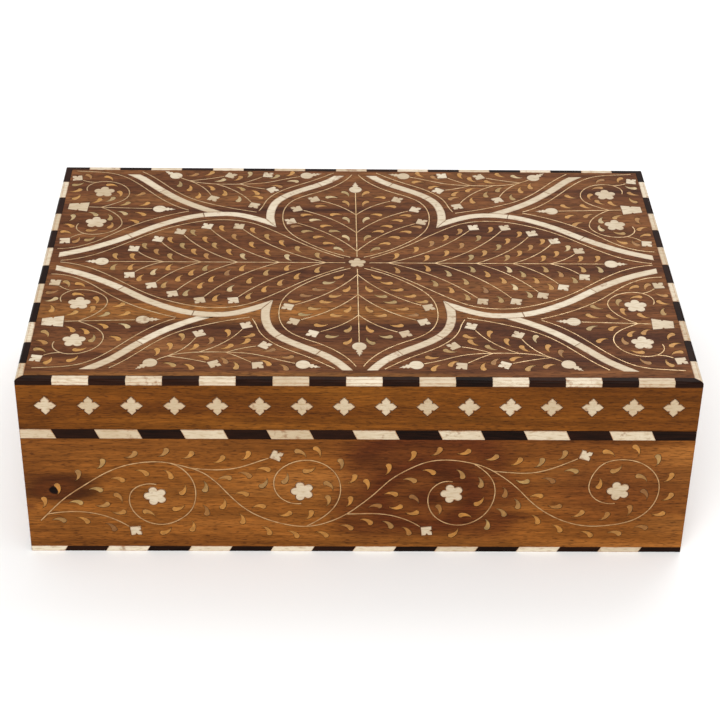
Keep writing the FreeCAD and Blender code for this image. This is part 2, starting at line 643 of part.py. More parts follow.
def top_inlay():
    """The whole ornament of the lid top, with its band grooves."""
    inlay = Inlay()
    inlay.motif("blossoms", lambda grow: flower_outline(size.rosette_radius, grow), (0, 0), (0, 1))
    ribs = {}
    for sign in (1, -1):
        for name, points in (("long", LONG_RIB), ("short", SHORT_RIB)):
            copy = Mirror(sign, sign, *TOP_FIELD_SCALE)
            ribs[name, sign] = sprout(inlay, copy.spots(points), None, "buds", bud_outline)
    grooves = []
    for sign_x in (1, -1):
        for sign_y in (1, -1):
            copy = Mirror(sign_x, sign_y, *TOP_FIELD_SCALE)
            top_quarter(inlay, copy, {"long": ribs["long", sign_x], "short": ribs["short", sign_y]})
            grooves.append(bands(inlay, copy))
    return inlay, grooves


def wall_inlay(side):
    """The vine of a base wall: the whole drawing on a long side, its two ends on a short one."""
    inlay = Inlay()
    rise = size.base_height / WALL_DRAWN[1]
    if side in LONG_SIDES:
        copy = Mirror(1, 1, size.box_width / 2 / WALL_DRAWN[0], rise, side)
        vine = copy.spots(VINE_FIRST + VINE_MIDDLE + VINE_LAST)
        stretches = [([SPIRAL_FIRST], [TWIG_FIRST], [FLOWER_FIRST], LEAVES_FIRST, 0),
                     (SPIRALS_MIDDLE, TWIGS_MIDDLE, FLOWERS_MIDDLE, LEAVES_MIDDLE, 0),
                     ([], [TWIG_LAST], [FLOWER_LAST], LEAVES_LAST, 0)]
    else:
        copy = Mirror(1, 1, SHORT_WALL_SPREAD * size.box_depth / 2 / SHORT_WALL_DRAWN, rise)
        first, last = -SHORT_WALL_MIDDLE, SHORT_WALL_SHIFT - SHORT_WALL_MIDDLE
        vine = copy.spots([(x + first, y) for x, y in VINE_FIRST] + [(x + last, y) for x, y in VINE_LAST])
        stretches = [([SPIRAL_FIRST], [TWIG_FIRST], [FLOWER_FIRST], LEAVES_FIRST, first),
                     ([], [TWIG_LAST], [FLOWER_LAST], LEAVES_LAST, last)]
    main = inlay.wire(vine)
    for spirals, twigs, flowers, leaves, shift in stretches:
        for points in spirals:
            inlay.wire(copy.spots([(x + shift, y) for x, y in points]), main)
        for points in twigs:
            sprout(inlay, copy.spots([(x + shift, y) for x, y in points]), main)
        for x, y in flowers:
            spot = copy.spot((x + shift, y))
            inlay.motif("flowers", lambda grow: flower_outline(size.flower_radius, grow), spot, (-1, 0))
        for x, y, degrees in leaves:
            bend = 1 if degrees > 0 else -1
            inlay.motif("leaves", leaf_outline, copy.spot((x + shift, y)), copy.heading(degrees), bend)
    return inlay


def rail_inlay(side):
    """Row of quatrefoils on a lid rail."""
    inlay = Inlay()
    count = int(size.quatrefoils_long if side in LONG_SIDES else size.quatrefoils_short)
    pitch = (side_length(side) - 2 * size.quatrefoil_margin) / (count - 1)
    for number in range(count):
        x = set_out((number - (count - 1) / 2) * pitch, side)
        inlay.motif("quatrefoils", quatrefoil_outline, (x, lid_bottom + size.quatrefoil_height), (1, 0))
    return inlay


def on_side(side):
    """Placement that stands a flat drawing up on a side's outer face."""
    return side_placement(side).multiply(Placement(Vector(), Rotation(Vector(1, 0, 0), 90)))


def stop_chamfer(plane, direction):
    """Wedge that bevels the back edge from the hinge axis out, so that the open lid stops there."""
    outer = size.box_depth / 2 + SPARE
    drop = direction * (outer - hinge_y) * stop_slope
    corners = [(hinge_y, plane), (outer, plane), (outer, plane + drop), (hinge_y, plane)]
    half = size.box_width / 2 + SPARE
    face = Part.Face(Part.makePolygon([Vector(-half, y, z) for y, z in corners]))
    return face.extrude(Vector(2 * half, 0, 0))


def screw_places(face_z):
    """Head centres of the screws in both hinges."""
    places = []
    for hinge in (-1, 1):
        for step in (-1, 0, 1):
            x = hinge * size.hinge_spacing / 2 + step * size.screw_spacing
            places.append(Vector(x, hinge_y - size.screw_inset, face_z))
    return places


def hinge_mortises(plane, direction):
    """Tools for one half of the hinges: barrel recess, leaf mortise and pilot holes."""
    tools = [stop_chamfer(plane, direction)]
    half = size.hinge_length / 2 + size.mortise_clearance
    barrel_half = size.hinge_length / 2 + size.pin_head_thickness + size.barrel_clearance
    for hinge in (-1, 1):
        x = hinge * size.hinge_spacing / 2
        radius = size.barrel_radius + size.barrel_clearance
        end = Vector(x - barrel_half, hinge_y, hinge_z)
        tools.append(Part.makeCylinder(radius, 2 * barrel_half, end, Vector(1, 0, 0)))
        reach = size.hinge_leaf_reach + size.mortise_clearance
        low = plane if direction > 0 else plane - size.hinge_leaf_thickness
        tools.append(Part.makeBox(2 * half, reach, size.hinge_leaf_thickness, Vector(x - half, hinge_y - reach, low)))
    for place in screw_places(plane):
        radius = size.screw_shank_radius + size.screw_clearance
        tools.append(Part.makeCylinder(radius, size.screw_length, place, Vector(0, 0, direction)))
    return tools[0].fuse(tools[1:])


BASE_HINGE_CUT = hinge_mortises(size.base_height, -1)
LID_HINGE_CUT = hinge_mortises(lid_bottom, 1)


def boards():
    """Base walls, lid rails, floor, lid top and linings."""
    half = {side: "sizes.box_width / 2" if side in LONG_SIDES else "sizes.box_depth / 2" for side in SIDES}
    lid_low = "sizes.base_height + sizes.seam_gap"
    lid_high = f"{lid_low} + sizes.lid_height"
    base_cut = feature("base_hinge_cut", [BASE_HINGE_CUT], sub_part=False)
    lid_cut = feature("lid_hinge_cut", [LID_HINGE_CUT], sub_part=False)
    for side in SIDES:
        wall = ("0", "sizes.wall_thickness")
        blank = block(f"base_{side}_blank", side, half[side], wall, ("0", "sizes.base_height"), "sizes.wall_thickness")
        foot = block(f"base_{side}_foot_rabbet", side, half[side], ("0", "sizes.foot_edging_width"),
                     ("0", "sizes.foot_edging_height"))
        seat = block(f"base_{side}_floor_rabbet", side, half[side],
                     ("sizes.wall_thickness - sizes.floor_lap", "sizes.wall_thickness"),
                     ("0", "sizes.floor_thickness"))
        rim = block(f"base_{side}_rim_rabbet", side, half[side], ("0", "sizes.rim_edging_width"),
                    ("sizes.base_height - sizes.rim_edging_height", "sizes.base_height"))
        tools = [foot, seat, rim] if side == "front" else [foot, seat, rim, base_cut]
        inlay = wall_inlay(side)
        pockets = feature(f"base_{side}_pockets", inlay.pockets, on_side(side), sub_part=False)
        keep(cut(f"base_{side}_wall", blank, tools + [pockets]))
        for group, solids in inlay.pieces.items():
            feature(f"base_{side}_{group}", solids, on_side(side))
        blank = block(f"lid_{side}_blank", side, half[side], wall, (lid_low, lid_high), "sizes.wall_thickness")
        seat = block(f"lid_{side}_top_rabbet", side, half[side], ("sizes.lid_edging_width", "sizes.wall_thickness"),
                     (f"{lid_high} - sizes.top_thickness", lid_high))
        edge = block(f"lid_{side}_edge_rabbet", side, half[side], ("0", "sizes.lid_edging_width"),
                     (f"{lid_high} - sizes.lid_edging_height", lid_high))
        tools = [seat, edge] if side == "front" else [seat, edge, lid_cut]
        inlay = rail_inlay(side)
        pockets = feature(f"lid_{side}_pockets", inlay.pockets, on_side(side), sub_part=False)
        keep(cut(f"lid_{side}_rail", blank, tools + [pockets]))
        for group, solids in inlay.pieces.items():
            feature(f"lid_{side}_{group}", solids, on_side(side))
    inside = "sizes.wall_thickness"
    keep(slab("base_floor", f"{inside} - sizes.floor_lap + sizes.panel_clearance", "0", "sizes.floor_thickness"))
    keep(slab("floor_lining", f"{inside} + sizes.lining_clearance", "sizes.floor_thickness", "sizes.lining_thickness"))
    keep(slab("lid_lining", f"{inside} + sizes.lining_clearance",
              f"{lid_high} - sizes.top_thickness - sizes.lining_thickness", "sizes.lining_thickness"))
    top = slab("lid_top_blank", "sizes.lid_edging_width + sizes.panel_clearance", f"{lid_high} - sizes.top_thickness",
               "sizes.top_thickness")
    inlay, grooves = top_inlay()
    lift = Placement(Vector(0, size.top_setting_shift, lid_top), Rotation())
    pockets = feature("lid_top_pockets", inlay.pockets + grooves, lift, sub_part=False)
    keep(cut("lid_top_panel", top, [pockets]))
    for group, solids in inlay.pieces.items():
        feature(f"lid_top_{group}", solids, lift)


def sketch_on(body, name, role, offset=None):
    """Sketch on one of a body's own origin planes, lifted by an expression if given."""
    sketch = body.newObject("Sketcher::SketchObject", name)
    plane = next(item for item in body.Origin.OriginFeatures if item.Role == role)
    sketch.AttachmentSupport = (plane, [""])
    sketch.MapMode = "FlatFace"
    if offset:
        sketch.setExpression("AttachmentOffset.Base.z", offset)
    return sketch


def bind(sketch, kind, geometry, position, expression):
    """Hold one coordinate of a sketch point at an expression of the sheet."""
    value = getattr(sketch.getPoint(geometry, position), "x" if kind == "DistanceX" else "y")
    number = sketch.addConstraint(Sketcher.Constraint(kind, -1, 1, geometry, position, value))
    sketch.setExpression(f"Constraints[{number}]", expression)


def polygon(sketch, corners):
    """Closed polygon whose corners are pairs of expressions."""
    spots = [Vector(evaluate(x), evaluate(y), 0) for x, y in corners]
    first = sketch.GeometryCount
    count = len(spots)
    for index in range(count):
        sketch.addGeometry(Part.LineSegment(spots[index], spots[(index + 1) % count]), False)
    for index in range(count):
        follower = first + (index + 1) % count
        sketch.addConstraint(Sketcher.Constraint("Coincident", first + index, 2, follower, 1))
    for index, (x, y) in enumerate(corners):
        bind(sketch, "DistanceX", first + index, 1, x)
        bind(sketch, "DistanceY", first + index, 1, y)


def rectangle(sketch, x_range, y_range):
    """Rectangle between expressions."""
    polygon(sketch, [(x_range[0], y_range[0]), (x_range[1], y_range[0]), (x_range[1], y_range[1]),
                     (x_range[0], y_range[1])])


def circle(sketch, x, y, radius):
    """Circle with its centre and radius at expressions."""
    spot = Vector(evaluate(x), evaluate(y), 0)
    number = sketch.addGeometry(Part.Circle(spot, Vector(0, 0, 1), evaluate(radius)), False)
    bind(sketch, "DistanceX", number, 3, x)
    bind(sketch, "DistanceY", number, 3, y)
    held = sketch.addConstraint(Sketcher.Constraint("Radius", number, evaluate(radius)))
    sketch.setExpression(f"Constraints[{held}]", radius)


def evaluate(expression):
    """Present value of an expression of the sheet."""
    return float(sheet.evalExpression(expression.replace("sizes.", "")))


def slab(label, inset, low, thickness):
    """Rectangular board, inset from the box's outside, as a sketch and a pad."""
    body = doc.addObject("PartDesign::Body", label)
    body.Label = label
    sketch = sketch_on(body, f"{label}_outline", "XY_Plane", low)
    rectangle(sketch, (f"-(sizes.box_width / 2 - ({inset}))", f"sizes.box_width / 2 - ({inset})"),
              (f"-(sizes.box_depth / 2 - ({inset}))", f"sizes.box_depth / 2 - ({inset})"))
    pad = body.newObject("PartDesign::Pad", f"{label}_pad")
    pad.Profile = sketch
    pad.setExpression("Length", thickness)
    return body


def edging(name, profile, counts, slant, cut_length, cut_first, starts_with_bone, tools=()):
    """Ring of bone and ebony tiles, mitred at the corners, let into an edge of the box.

    The tiles of a side are equal but for the first or the last one, which is cut shorter to fit.
    """
    solids = {"bone": [], "ebony": []}
    low = min(z for y, z, *via in profile)
    high = max(z for y, z, *via in profile)
    depth = max(y for y, z, *via in profile)
    for side in SIDES:
        length = side_length(side)
        section = face_from(profile)
        section.Placement = Placement(Vector(-length / 2, 0, 0), Rotation(Vector(1, 1, 1), 120))
        strip = section.extrude(Vector(length, 0, 0))
        plan = [(-length / 2, 0), (length / 2, 0), (length / 2 - depth, depth), (depth - length / 2, depth)]
        mitre = face_from(plan).translated(Vector(0, 0, low - SPARE))
        strip = strip.common(mitre.extrude(Vector(0, 0, high - low + 2 * SPARE)))
        count = int(counts[0] if side in LONG_SIDES else counts[1])
        pitch = (length + cut_length) / count
        start = -length / 2 - (cut_length if cut_first else 0)
        for number in range(count):
            left = start + number * pitch - (length if number == 0 else 0)
            right = start + (number + 1) * pitch + (length if number == count - 1 else 0)
            corners = [(left + slant / 2, low), (right + slant / 2, low), (right - slant / 2, high),
                       (left - slant / 2, high)]
            face = Part.Face(Part.makePolygon([Vector(x, -SPARE, z) for x, z in corners + corners[:1]]))
            tile = strip.common(face.extrude(Vector(0, depth + 2 * SPARE, 0)))
            tile.Placement = side_placement(side).multiply(tile.Placement)
            for tool in tools:
                tile = tile.cut(tool)
            bone = (number % 2 == 0) == starts_with_bone[side]
            solids["bone" if bone else "ebony"] += tile.Solids
    for colour, pieces in solids.items():
        feature(f"{name}_{colour}", pieces)


def edgings():
    """Lid, rim and foot edging."""
    width, low = size.lid_edging_width, lid_top - size.lid_edging_height
    rounding = size.lid_edging_round
    bulge = rounding * (1 - math.sqrt(0.5))
    lid_profile = [(0, low), (width, low), (width, lid_top), (rounding, lid_top),
                   (bulge, lid_top - bulge, VIA), (0, lid_top - rounding)]
    edging("lid_edging", lid_profile, (size.lid_tiles_long, size.lid_tiles_short), 0, size.lid_tile_cut, False,
           {"front": False, "right": True, "back": False, "left": False})
    width, low, high = size.rim_edging_width, size.base_height - size.rim_edging_height, size.base_height
    rim_profile = [(0, low), (width, low), (width, high), (0, high)]
    all_bone = dict.fromkeys(SIDES, True)
    base_counts = (size.base_tiles_long, size.base_tiles_short)
    edging("rim_edging", rim_profile, base_counts, size.rim_tile_slant, size.rim_tile_cut, True, all_bone,
           [BASE_HINGE_CUT])
    width, high = size.foot_edging_width, size.foot_edging_height
    foot_profile = [(0, 0), (width, 0), (width, high), (0, high)]
    edging("foot_edging", foot_profile, base_counts, -size.foot_tile_slant, size.foot_tile_cut, True, all_bone)


KNUCKLES = 5


def hinge_leaf(label, hinge, own_knuckles, is_lid):
    """Brass leaf with its knuckles, bored for the pin and countersunk for the screws."""
    body = doc.addObject("PartDesign::Body", label)
    body.Label = label
    sketch = sketch_on(body, f"{label}_plate", "XY_Plane", "-(sizes.seam_gap / 2 + sizes.hinge_leaf_thickness)")
    rectangle(sketch, ("-sizes.hinge_length / 2", "sizes.hinge_length / 2"), ("-sizes.hinge_leaf_reach", "0"))
    plate = body.newObject("PartDesign::Pad", f"{label}_plate_pad")
    plate.Profile = sketch
    plate.setExpression("Length", "sizes.hinge_leaf_thickness")
    sketch = sketch_on(body, f"{label}_barrel", "YZ_Plane")
    circle(sketch, "0", "0", "sizes.barrel_radius")
    barrel = body.newObject("PartDesign::Pad", f"{label}_barrel_pad")
    barrel.Profile = sketch
    barrel.SideType = "Symmetric"
    barrel.setExpression("Length", "sizes.hinge_length")
    pitch = f"sizes.hinge_length / {KNUCKLES}"
    sketch = sketch_on(body, f"{label}_gaps", "XY_Plane")
    for knuckle in range(KNUCKLES):
        if knuckle in own_knuckles:
            continue
        start = f"-sizes.hinge_length / 2 + {knuckle} * {pitch} - sizes.knuckle_gap / 2"
        end = f"-sizes.hinge_length / 2 + {knuckle + 1} * {pitch} + sizes.knuckle_gap / 2"
        reach = "sizes.barrel_radius + sizes.barrel_clearance"
        rectangle(sketch, (start, end), (f"-({reach})", reach))
    gaps = body.newObject("PartDesign::Pocket", f"{label}_gaps_pocket")
    gaps.Profile = sketch
    gaps.SideType = "Symmetric"
    gaps.setExpression("Length", "4 * sizes.barrel_radius")
    sketch = sketch_on(body, f"{label}_bore", "YZ_Plane")
    circle(sketch, "0", "0", "sizes.pin_radius + sizes.pin_clearance")
    bore = body.newObject("PartDesign::Pocket", f"{label}_bore_pocket")
    bore.Profile = sketch
    bore.SideType = "Symmetric"
    bore.setExpression("Length", "2 * sizes.hinge_length")
    sketch = sketch_on(body, f"{label}_holes", "XY_Plane", "-sizes.seam_gap / 2")
    for step in (-1, 0, 1):
        circle(sketch, f"{step} * sizes.screw_spacing", "-sizes.screw_inset",
               "sizes.screw_shank_radius + 2 * sizes.screw_clearance")
    holes = body.newObject("PartDesign::Pocket", f"{label}_holes_pocket")
    holes.Profile = sketch
    holes.setExpression("Length", "2 * sizes.hinge_leaf_thickness")
    for step in (-1, 0, 1):
        sink = body.newObject("PartDesign::SubtractiveCone", f"{label}_sink_{step + 2}")
        sink.setExpression("Radius1", "sizes.screw_shank_radius + sizes.screw_clearance")
        sink.setExpression("Radius2", "sizes.screw_head_radius + sizes.screw_clearance")
        sink.setExpression("Height", "sizes.screw_head_height")
        sink.setExpression("AttachmentOffset.Base.x", f"{step} * sizes.screw_spacing")
        sink.setExpression("AttachmentOffset.Base.y", "-sizes.screw_inset")
        sink.setExpression("AttachmentOffset.Base.z", "-sizes.seam_gap / 2 - sizes.screw_head_height")
        plane = next(item for item in body.Origin.OriginFeatures if item.Role == "XY_Plane")
        sink.AttachmentSupport = (plane, [""])
        sink.MapMode = "FlatFace"
    body.Placement = Placement(Vector(), Rotation(Vector(0, 1, 0), 180 if is_lid else 0))
    body.setExpression("Placement.Base.x", f"{hinge} * sizes.hinge_spacing / 2")
    body.setExpression("Placement.Base.y", "sizes.box_depth / 2 - sizes.barrel_radius")
    body.setExpression("Placement.Base.z", "sizes.base_height + sizes.seam_gap / 2")
    return keep(body)


def hinge_pin(label, hinge):
    """Brass pin with a peened head at each end, turned about its own axis."""
    body = doc.addObject("PartDesign::Body", label)
    body.Label = label
    sketch = sketch_on(body, f"{label}_profile", "XY_Plane")
    end = "sizes.hinge_length / 2"
    head_end = f"{end} + sizes.pin_head_thickness"
    polygon(sketch, [
        (f"-({head_end})", "0"), (head_end, "0"), (head_end, "sizes.pin_head_radius / 2"),
        (end, "sizes.pin_head_radius"), (end, "sizes.pin_radius"), (f"-({end})", "sizes.pin_radius"),
        (f"-({end})", "sizes.pin_head_radius"), (f"-({head_end})", "sizes.pin_head_radius / 2"),
    ])
    turned = body.newObject("PartDesign::Revolution", f"{label}_turned")
    turned.Profile = sketch
    turned.ReferenceAxis = (sketch, ["H_Axis"])
    turned.Angle = 360
    body.setExpression("Placement.Base.x", f"{hinge} * sizes.hinge_spacing / 2")
    body.setExpression("Placement.Base.y", "sizes.box_depth / 2 - sizes.barrel_radius")
    body.setExpression("Placement.Base.z", "sizes.base_height + sizes.seam_gap / 2")
    return keep(body)


def screws(label, face_z, direction):
    """Slotted countersunk wood screws of one half of the hinges."""
    solids = []
    for place in screw_places(face_z):
        head = Part.makeCone(size.screw_head_radius, size.screw_shank_radius, size.screw_head_height)
        shank = Part.makeCylinder(size.screw_shank_radius, size.screw_length - size.screw_clearance)
        slot = Part.makeBox(4 * size.screw_head_radius, size.screw_slot_width, 2 * size.screw_slot_depth,
                            Vector(-2 * size.screw_head_radius, -size.screw_slot_width / 2, -size.screw_slot_depth))
        screw = head.fuse(shank).cut(slot)
        turn = Rotation(Vector(0, 0, 1), 35) if direction > 0 else Rotation(Vector(1, 0, 0), 180)
        screw.Placement = Placement(place, turn)
        solids.append(screw)
    return feature(label, solids)


def hinges():
    """Two butt hinges and their screws."""
    for name, hinge in (("left", -1), ("right", 1)):
        hinge_leaf(f"{name}_hinge_base_leaf", hinge, (0, 2, 4), False)
        hinge_leaf(f"{name}_hinge_lid_leaf", hinge, (1, 3), True)
        hinge_pin(f"{name}_hinge_pin", hinge)
    screws("base_hinge_screws", size.base_height, -1)
    screws("lid_hinge_screws", lid_bottom, 1)


boards()
edgings()
hinges()
doc.recompute()

for obj in doc.Objects:
    if {"Invalid", "Error"} & set(obj.State):
        raise RuntimeError(f"{obj.Label} failed to build: {obj.State}")
os.makedirs("parts", exist_ok=True)
for obj in SUB_PARTS:
    shape = obj.Shape
    if shape.isNull() or not shape.isValid() or not shape.Solids or shape.Volume <= 0:
        raise RuntimeError(f"{obj.Label} has no valid solid")
for obj in SUB_PARTS:
    obj.Shape.exportStep(f"parts/{obj.Label}.step")
print(len(SUB_PARTS), "sub-parts,", sum(len(obj.Shape.Solids) for obj in SUB_PARTS), "solids")
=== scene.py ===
"""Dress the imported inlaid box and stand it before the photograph's camera.

The boards, wires and hinges keep their solids and get finishes. Bone and ebony pieces are copied so that each
has its own tone, softened edges and the dark lac line round it. Horn leaves are set by Geometry Nodes at the
places of the leaves in the solids. The cloth linings are made as thin crowned pads.
"""
import json
import logging
import math
import random
from dataclasses import dataclass, field
from enum import Enum

import bmesh
import bpy
import numpy as np
from mathutils import Matrix, Vector

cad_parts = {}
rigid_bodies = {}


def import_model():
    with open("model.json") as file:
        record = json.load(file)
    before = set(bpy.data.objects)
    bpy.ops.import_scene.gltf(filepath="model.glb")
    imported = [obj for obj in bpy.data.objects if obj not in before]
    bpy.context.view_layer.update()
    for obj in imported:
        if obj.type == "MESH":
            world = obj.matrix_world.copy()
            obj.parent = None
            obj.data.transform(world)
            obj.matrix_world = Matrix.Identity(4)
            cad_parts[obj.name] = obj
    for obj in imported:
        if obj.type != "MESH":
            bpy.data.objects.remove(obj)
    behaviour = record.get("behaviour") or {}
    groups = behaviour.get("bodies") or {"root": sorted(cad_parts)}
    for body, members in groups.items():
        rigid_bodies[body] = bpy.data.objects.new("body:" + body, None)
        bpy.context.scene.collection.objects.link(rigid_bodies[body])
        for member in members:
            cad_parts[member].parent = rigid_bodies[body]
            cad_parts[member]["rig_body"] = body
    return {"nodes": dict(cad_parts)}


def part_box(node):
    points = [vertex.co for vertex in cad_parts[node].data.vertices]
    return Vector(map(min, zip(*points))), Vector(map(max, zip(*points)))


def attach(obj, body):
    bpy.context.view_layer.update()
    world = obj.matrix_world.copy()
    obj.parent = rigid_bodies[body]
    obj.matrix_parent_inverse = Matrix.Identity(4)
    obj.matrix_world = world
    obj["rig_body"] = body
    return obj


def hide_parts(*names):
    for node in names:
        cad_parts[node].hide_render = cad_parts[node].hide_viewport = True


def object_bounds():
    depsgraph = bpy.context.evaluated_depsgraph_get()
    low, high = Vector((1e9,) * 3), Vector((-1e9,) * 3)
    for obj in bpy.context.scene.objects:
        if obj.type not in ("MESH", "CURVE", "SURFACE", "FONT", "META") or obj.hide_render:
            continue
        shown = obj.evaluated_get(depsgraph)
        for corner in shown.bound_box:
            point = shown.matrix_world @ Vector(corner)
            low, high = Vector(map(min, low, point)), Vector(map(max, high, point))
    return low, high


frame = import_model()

CAD_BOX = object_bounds()
MM = 0.001
# Corners of a copied solid that are nearer than this are one corner.
MERGE_MM = 0.002
# A face is shown if it is this near to the outside and turned out by this share.
LEVEL_MM = 0.2
FACING = 0.99
LOG = logging.getLogger("inlaid_box")


class Grain(Enum):
    """The way that a board's grain runs."""

    ALONG_X = (0, 1, 1)
    ALONG_Y = (1, 0, 1)

    def scale(self, along_mm: float, across_mm: float) -> tuple[float, ...]:
        """Mapping scale that makes a unit pattern this long and wide."""
        return tuple(1 / MM / (across_mm if across else along_mm) for across in self.value)


class Side(Enum):
    """An outer face of the box that carries ornament, by its outward normal."""

    FRONT = (0, -1, 0)
    RIGHT = (1, 0, 0)
    BACK = (0, 1, 0)
    LEFT = (-1, 0, 0)
    TOP = (0, 0, 1)

    @property
    def normal(self) -> Vector:
        """Outward direction of the face."""
        return Vector(self.value)

    @property
    def up(self) -> Vector:
        """Upward direction of the drawing on this face."""
        return Vector((0, 1, 0)) if self is Side.TOP else Vector((0, 0, 1))

    @property
    def right(self) -> Vector:
        """Rightward direction of the drawing, as seen from outside."""
        return self.up.cross(self.normal)

    @property
    def reach(self) -> float:
        """Distance of the face from the origin, in metres."""
        return max(self.normal.dot(corner) for corner in CAD_BOX)

    @property
    def grain(self) -> Grain:
        """The way that the grain of this face's board runs."""
        return Grain.ALONG_Y if self in (Side.RIGHT, Side.LEFT) else Grain.ALONG_X


WALLS = (Side.FRONT, Side.RIGHT, Side.BACK, Side.LEFT)


def colour(code: str) -> tuple[float, float, float, float]:
    """Turn an sRGB hex colour to linear.

    Args:
        code: Six hex digits.

    Returns:
        Linear red, green and blue, with an alpha of 1.
    """
    shares = [int(code[i:i + 2], 16) / 255 for i in (0, 2, 4)]
    linear = [s / 12.92 if s <= 0.04045 else ((s + 0.055) / 1.055) ** 2.4 for s in shares]
    return (*linear, 1.0)


def connect(node: bpy.types.Node, links: dict) -> None:
    """Set or link the inputs of a node.

    Args:
        node: The node that gets them.
        links: Input name or number to a value, a socket, or a list of sockets.
    """
    for key, value in links.items():
        for source in value if isinstance(value, list) else [value]:
            if isinstance(source, bpy.types.NodeSocket):
                node.id_data.links.new(source, node.inputs[key])
            else:
                node.inputs[key].default_value = source


def add_node(tree: bpy.types.NodeTree, kind: str, links: dict | None = None, stops: list | None = None,
             **settings: object) -> bpy.types.Node:
    """Add a node to a tree with its settings and links.

    Args:
        tree: The tree that gets the node.
        kind: Blender's name for the node type.
        links: Its inputs, as connect takes them.
        stops: Position and hex colour pairs of a colour ramp.
        settings: The node's own properties.

    Returns:
        The new node.
    """
    node = tree.nodes.new(kind)
    for name, value in settings.items():
        setattr(node, name, value)
    if stops:
        ramp = node.color_ramp
        while len(ramp.elements) < len(stops):
            ramp.elements.new(1.0)
        for element, (position, code) in zip(ramp.elements, stops):
            element.position = position
            element.color = colour(code)
    connect(node, links or {})
    return node


def start_material(name: str) -> tuple[bpy.types.Material, bpy.types.Node, bpy.types.NodeSocket]:
    """Make an empty material with its shader.

    Args:
        name: Name of the real material.

    Returns:
        The material, its Principled shader node and the piece's Object coordinates.
    """
    material = bpy.data.materials.new(name)
    material.use_nodes = True
    tree = material.node_tree
    tree.nodes.clear()
    shader = add_node(tree, "ShaderNodeBsdfPrincipled")
    add_node(tree, "ShaderNodeOutputMaterial", {"Surface": shader.outputs["BSDF"]})
    return material, shader, add_node(tree, "ShaderNodeTexCoord").outputs["Object"]


@dataclass(frozen=True)
class Patch:
    """An oval area of a board with another tone, such as sapwood, heartwood or a knot.

    Arches is the number of growth arches between its middle and its rim, arch_shade is how much of the tone is left
    between them, and arch_bend and fray are how far the board's figure bends them and frays the rim. Reach is where
    the tone ends, as a share of the radii with the fray.
    """

    centre_mm: tuple[float, float, float]
    radii_mm: tuple[float, float, float]
    tone: str
    strength: float
    softness: float = 0.8
    arches: float = 0.0
    arch_shade: float = 0.72
    arch_bend: float = 0.15
    fray: float = 0.9
    reach: float = 1.45

    def mask(self, tree: bpy.types.NodeTree, place: bpy.types.NodeSocket,
             figure: bpy.types.NodeSocket) -> bpy.types.NodeSocket:
        """Soft oval mask, frayed along the figure.

        Args:
            tree: The board's node tree.
            place: Object coordinates.
            figure: The board's streaks.

        Returns:
            The socket that gives the mask.
        """
        centre = tuple(value * MM for value in self.centre_mm)
        radii = tuple(value * MM for value in self.radii_mm)
        away = add_node(tree, "ShaderNodeVectorMath", {0: place, 1: centre}, operation="SUBTRACT").outputs[0]
        share = add_node(tree, "ShaderNodeVectorMath", {0: away, 1: radii}, operation="DIVIDE").outputs[0]
        length = add_node(tree, "ShaderNodeVectorMath", {0: share}, operation="LENGTH").outputs["Value"]
        frayed = add_node(tree, "ShaderNodeMath", {0: figure, 1: self.fray, 2: length}, operation="MULTIPLY_ADD")
        cover = add_node(tree, "ShaderNodeMapRange", {
            0: frayed.outputs[0], 1: self.reach, 2: self.reach - self.softness, 3: 0.0, 4: self.strength},
            interpolation_type="SMOOTHSTEP").outputs[0]
        if not self.arches:
            return cover
        bent = add_node(tree, "ShaderNodeMath", {0: figure, 1: self.arch_bend, 2: length}, operation="MULTIPLY_ADD")
        phase = add_node(tree, "ShaderNodeMath", {0: bent.outputs[0], 1: math.tau * self.arches},
                         operation="MULTIPLY")
        wave = add_node(tree, "ShaderNodeMath", {0: phase.outputs[0]}, operation="SINE")
        shade = add_node(tree, "ShaderNodeMapRange", {
            0: wave.outputs[0], 1: -1.0, 2: 1.0, 3: self.arch_shade, 4: 1.0})
        return add_node(tree, "ShaderNodeMath", {0: cover, 1: shade.outputs[0]}, operation="MULTIPLY").outputs[0]


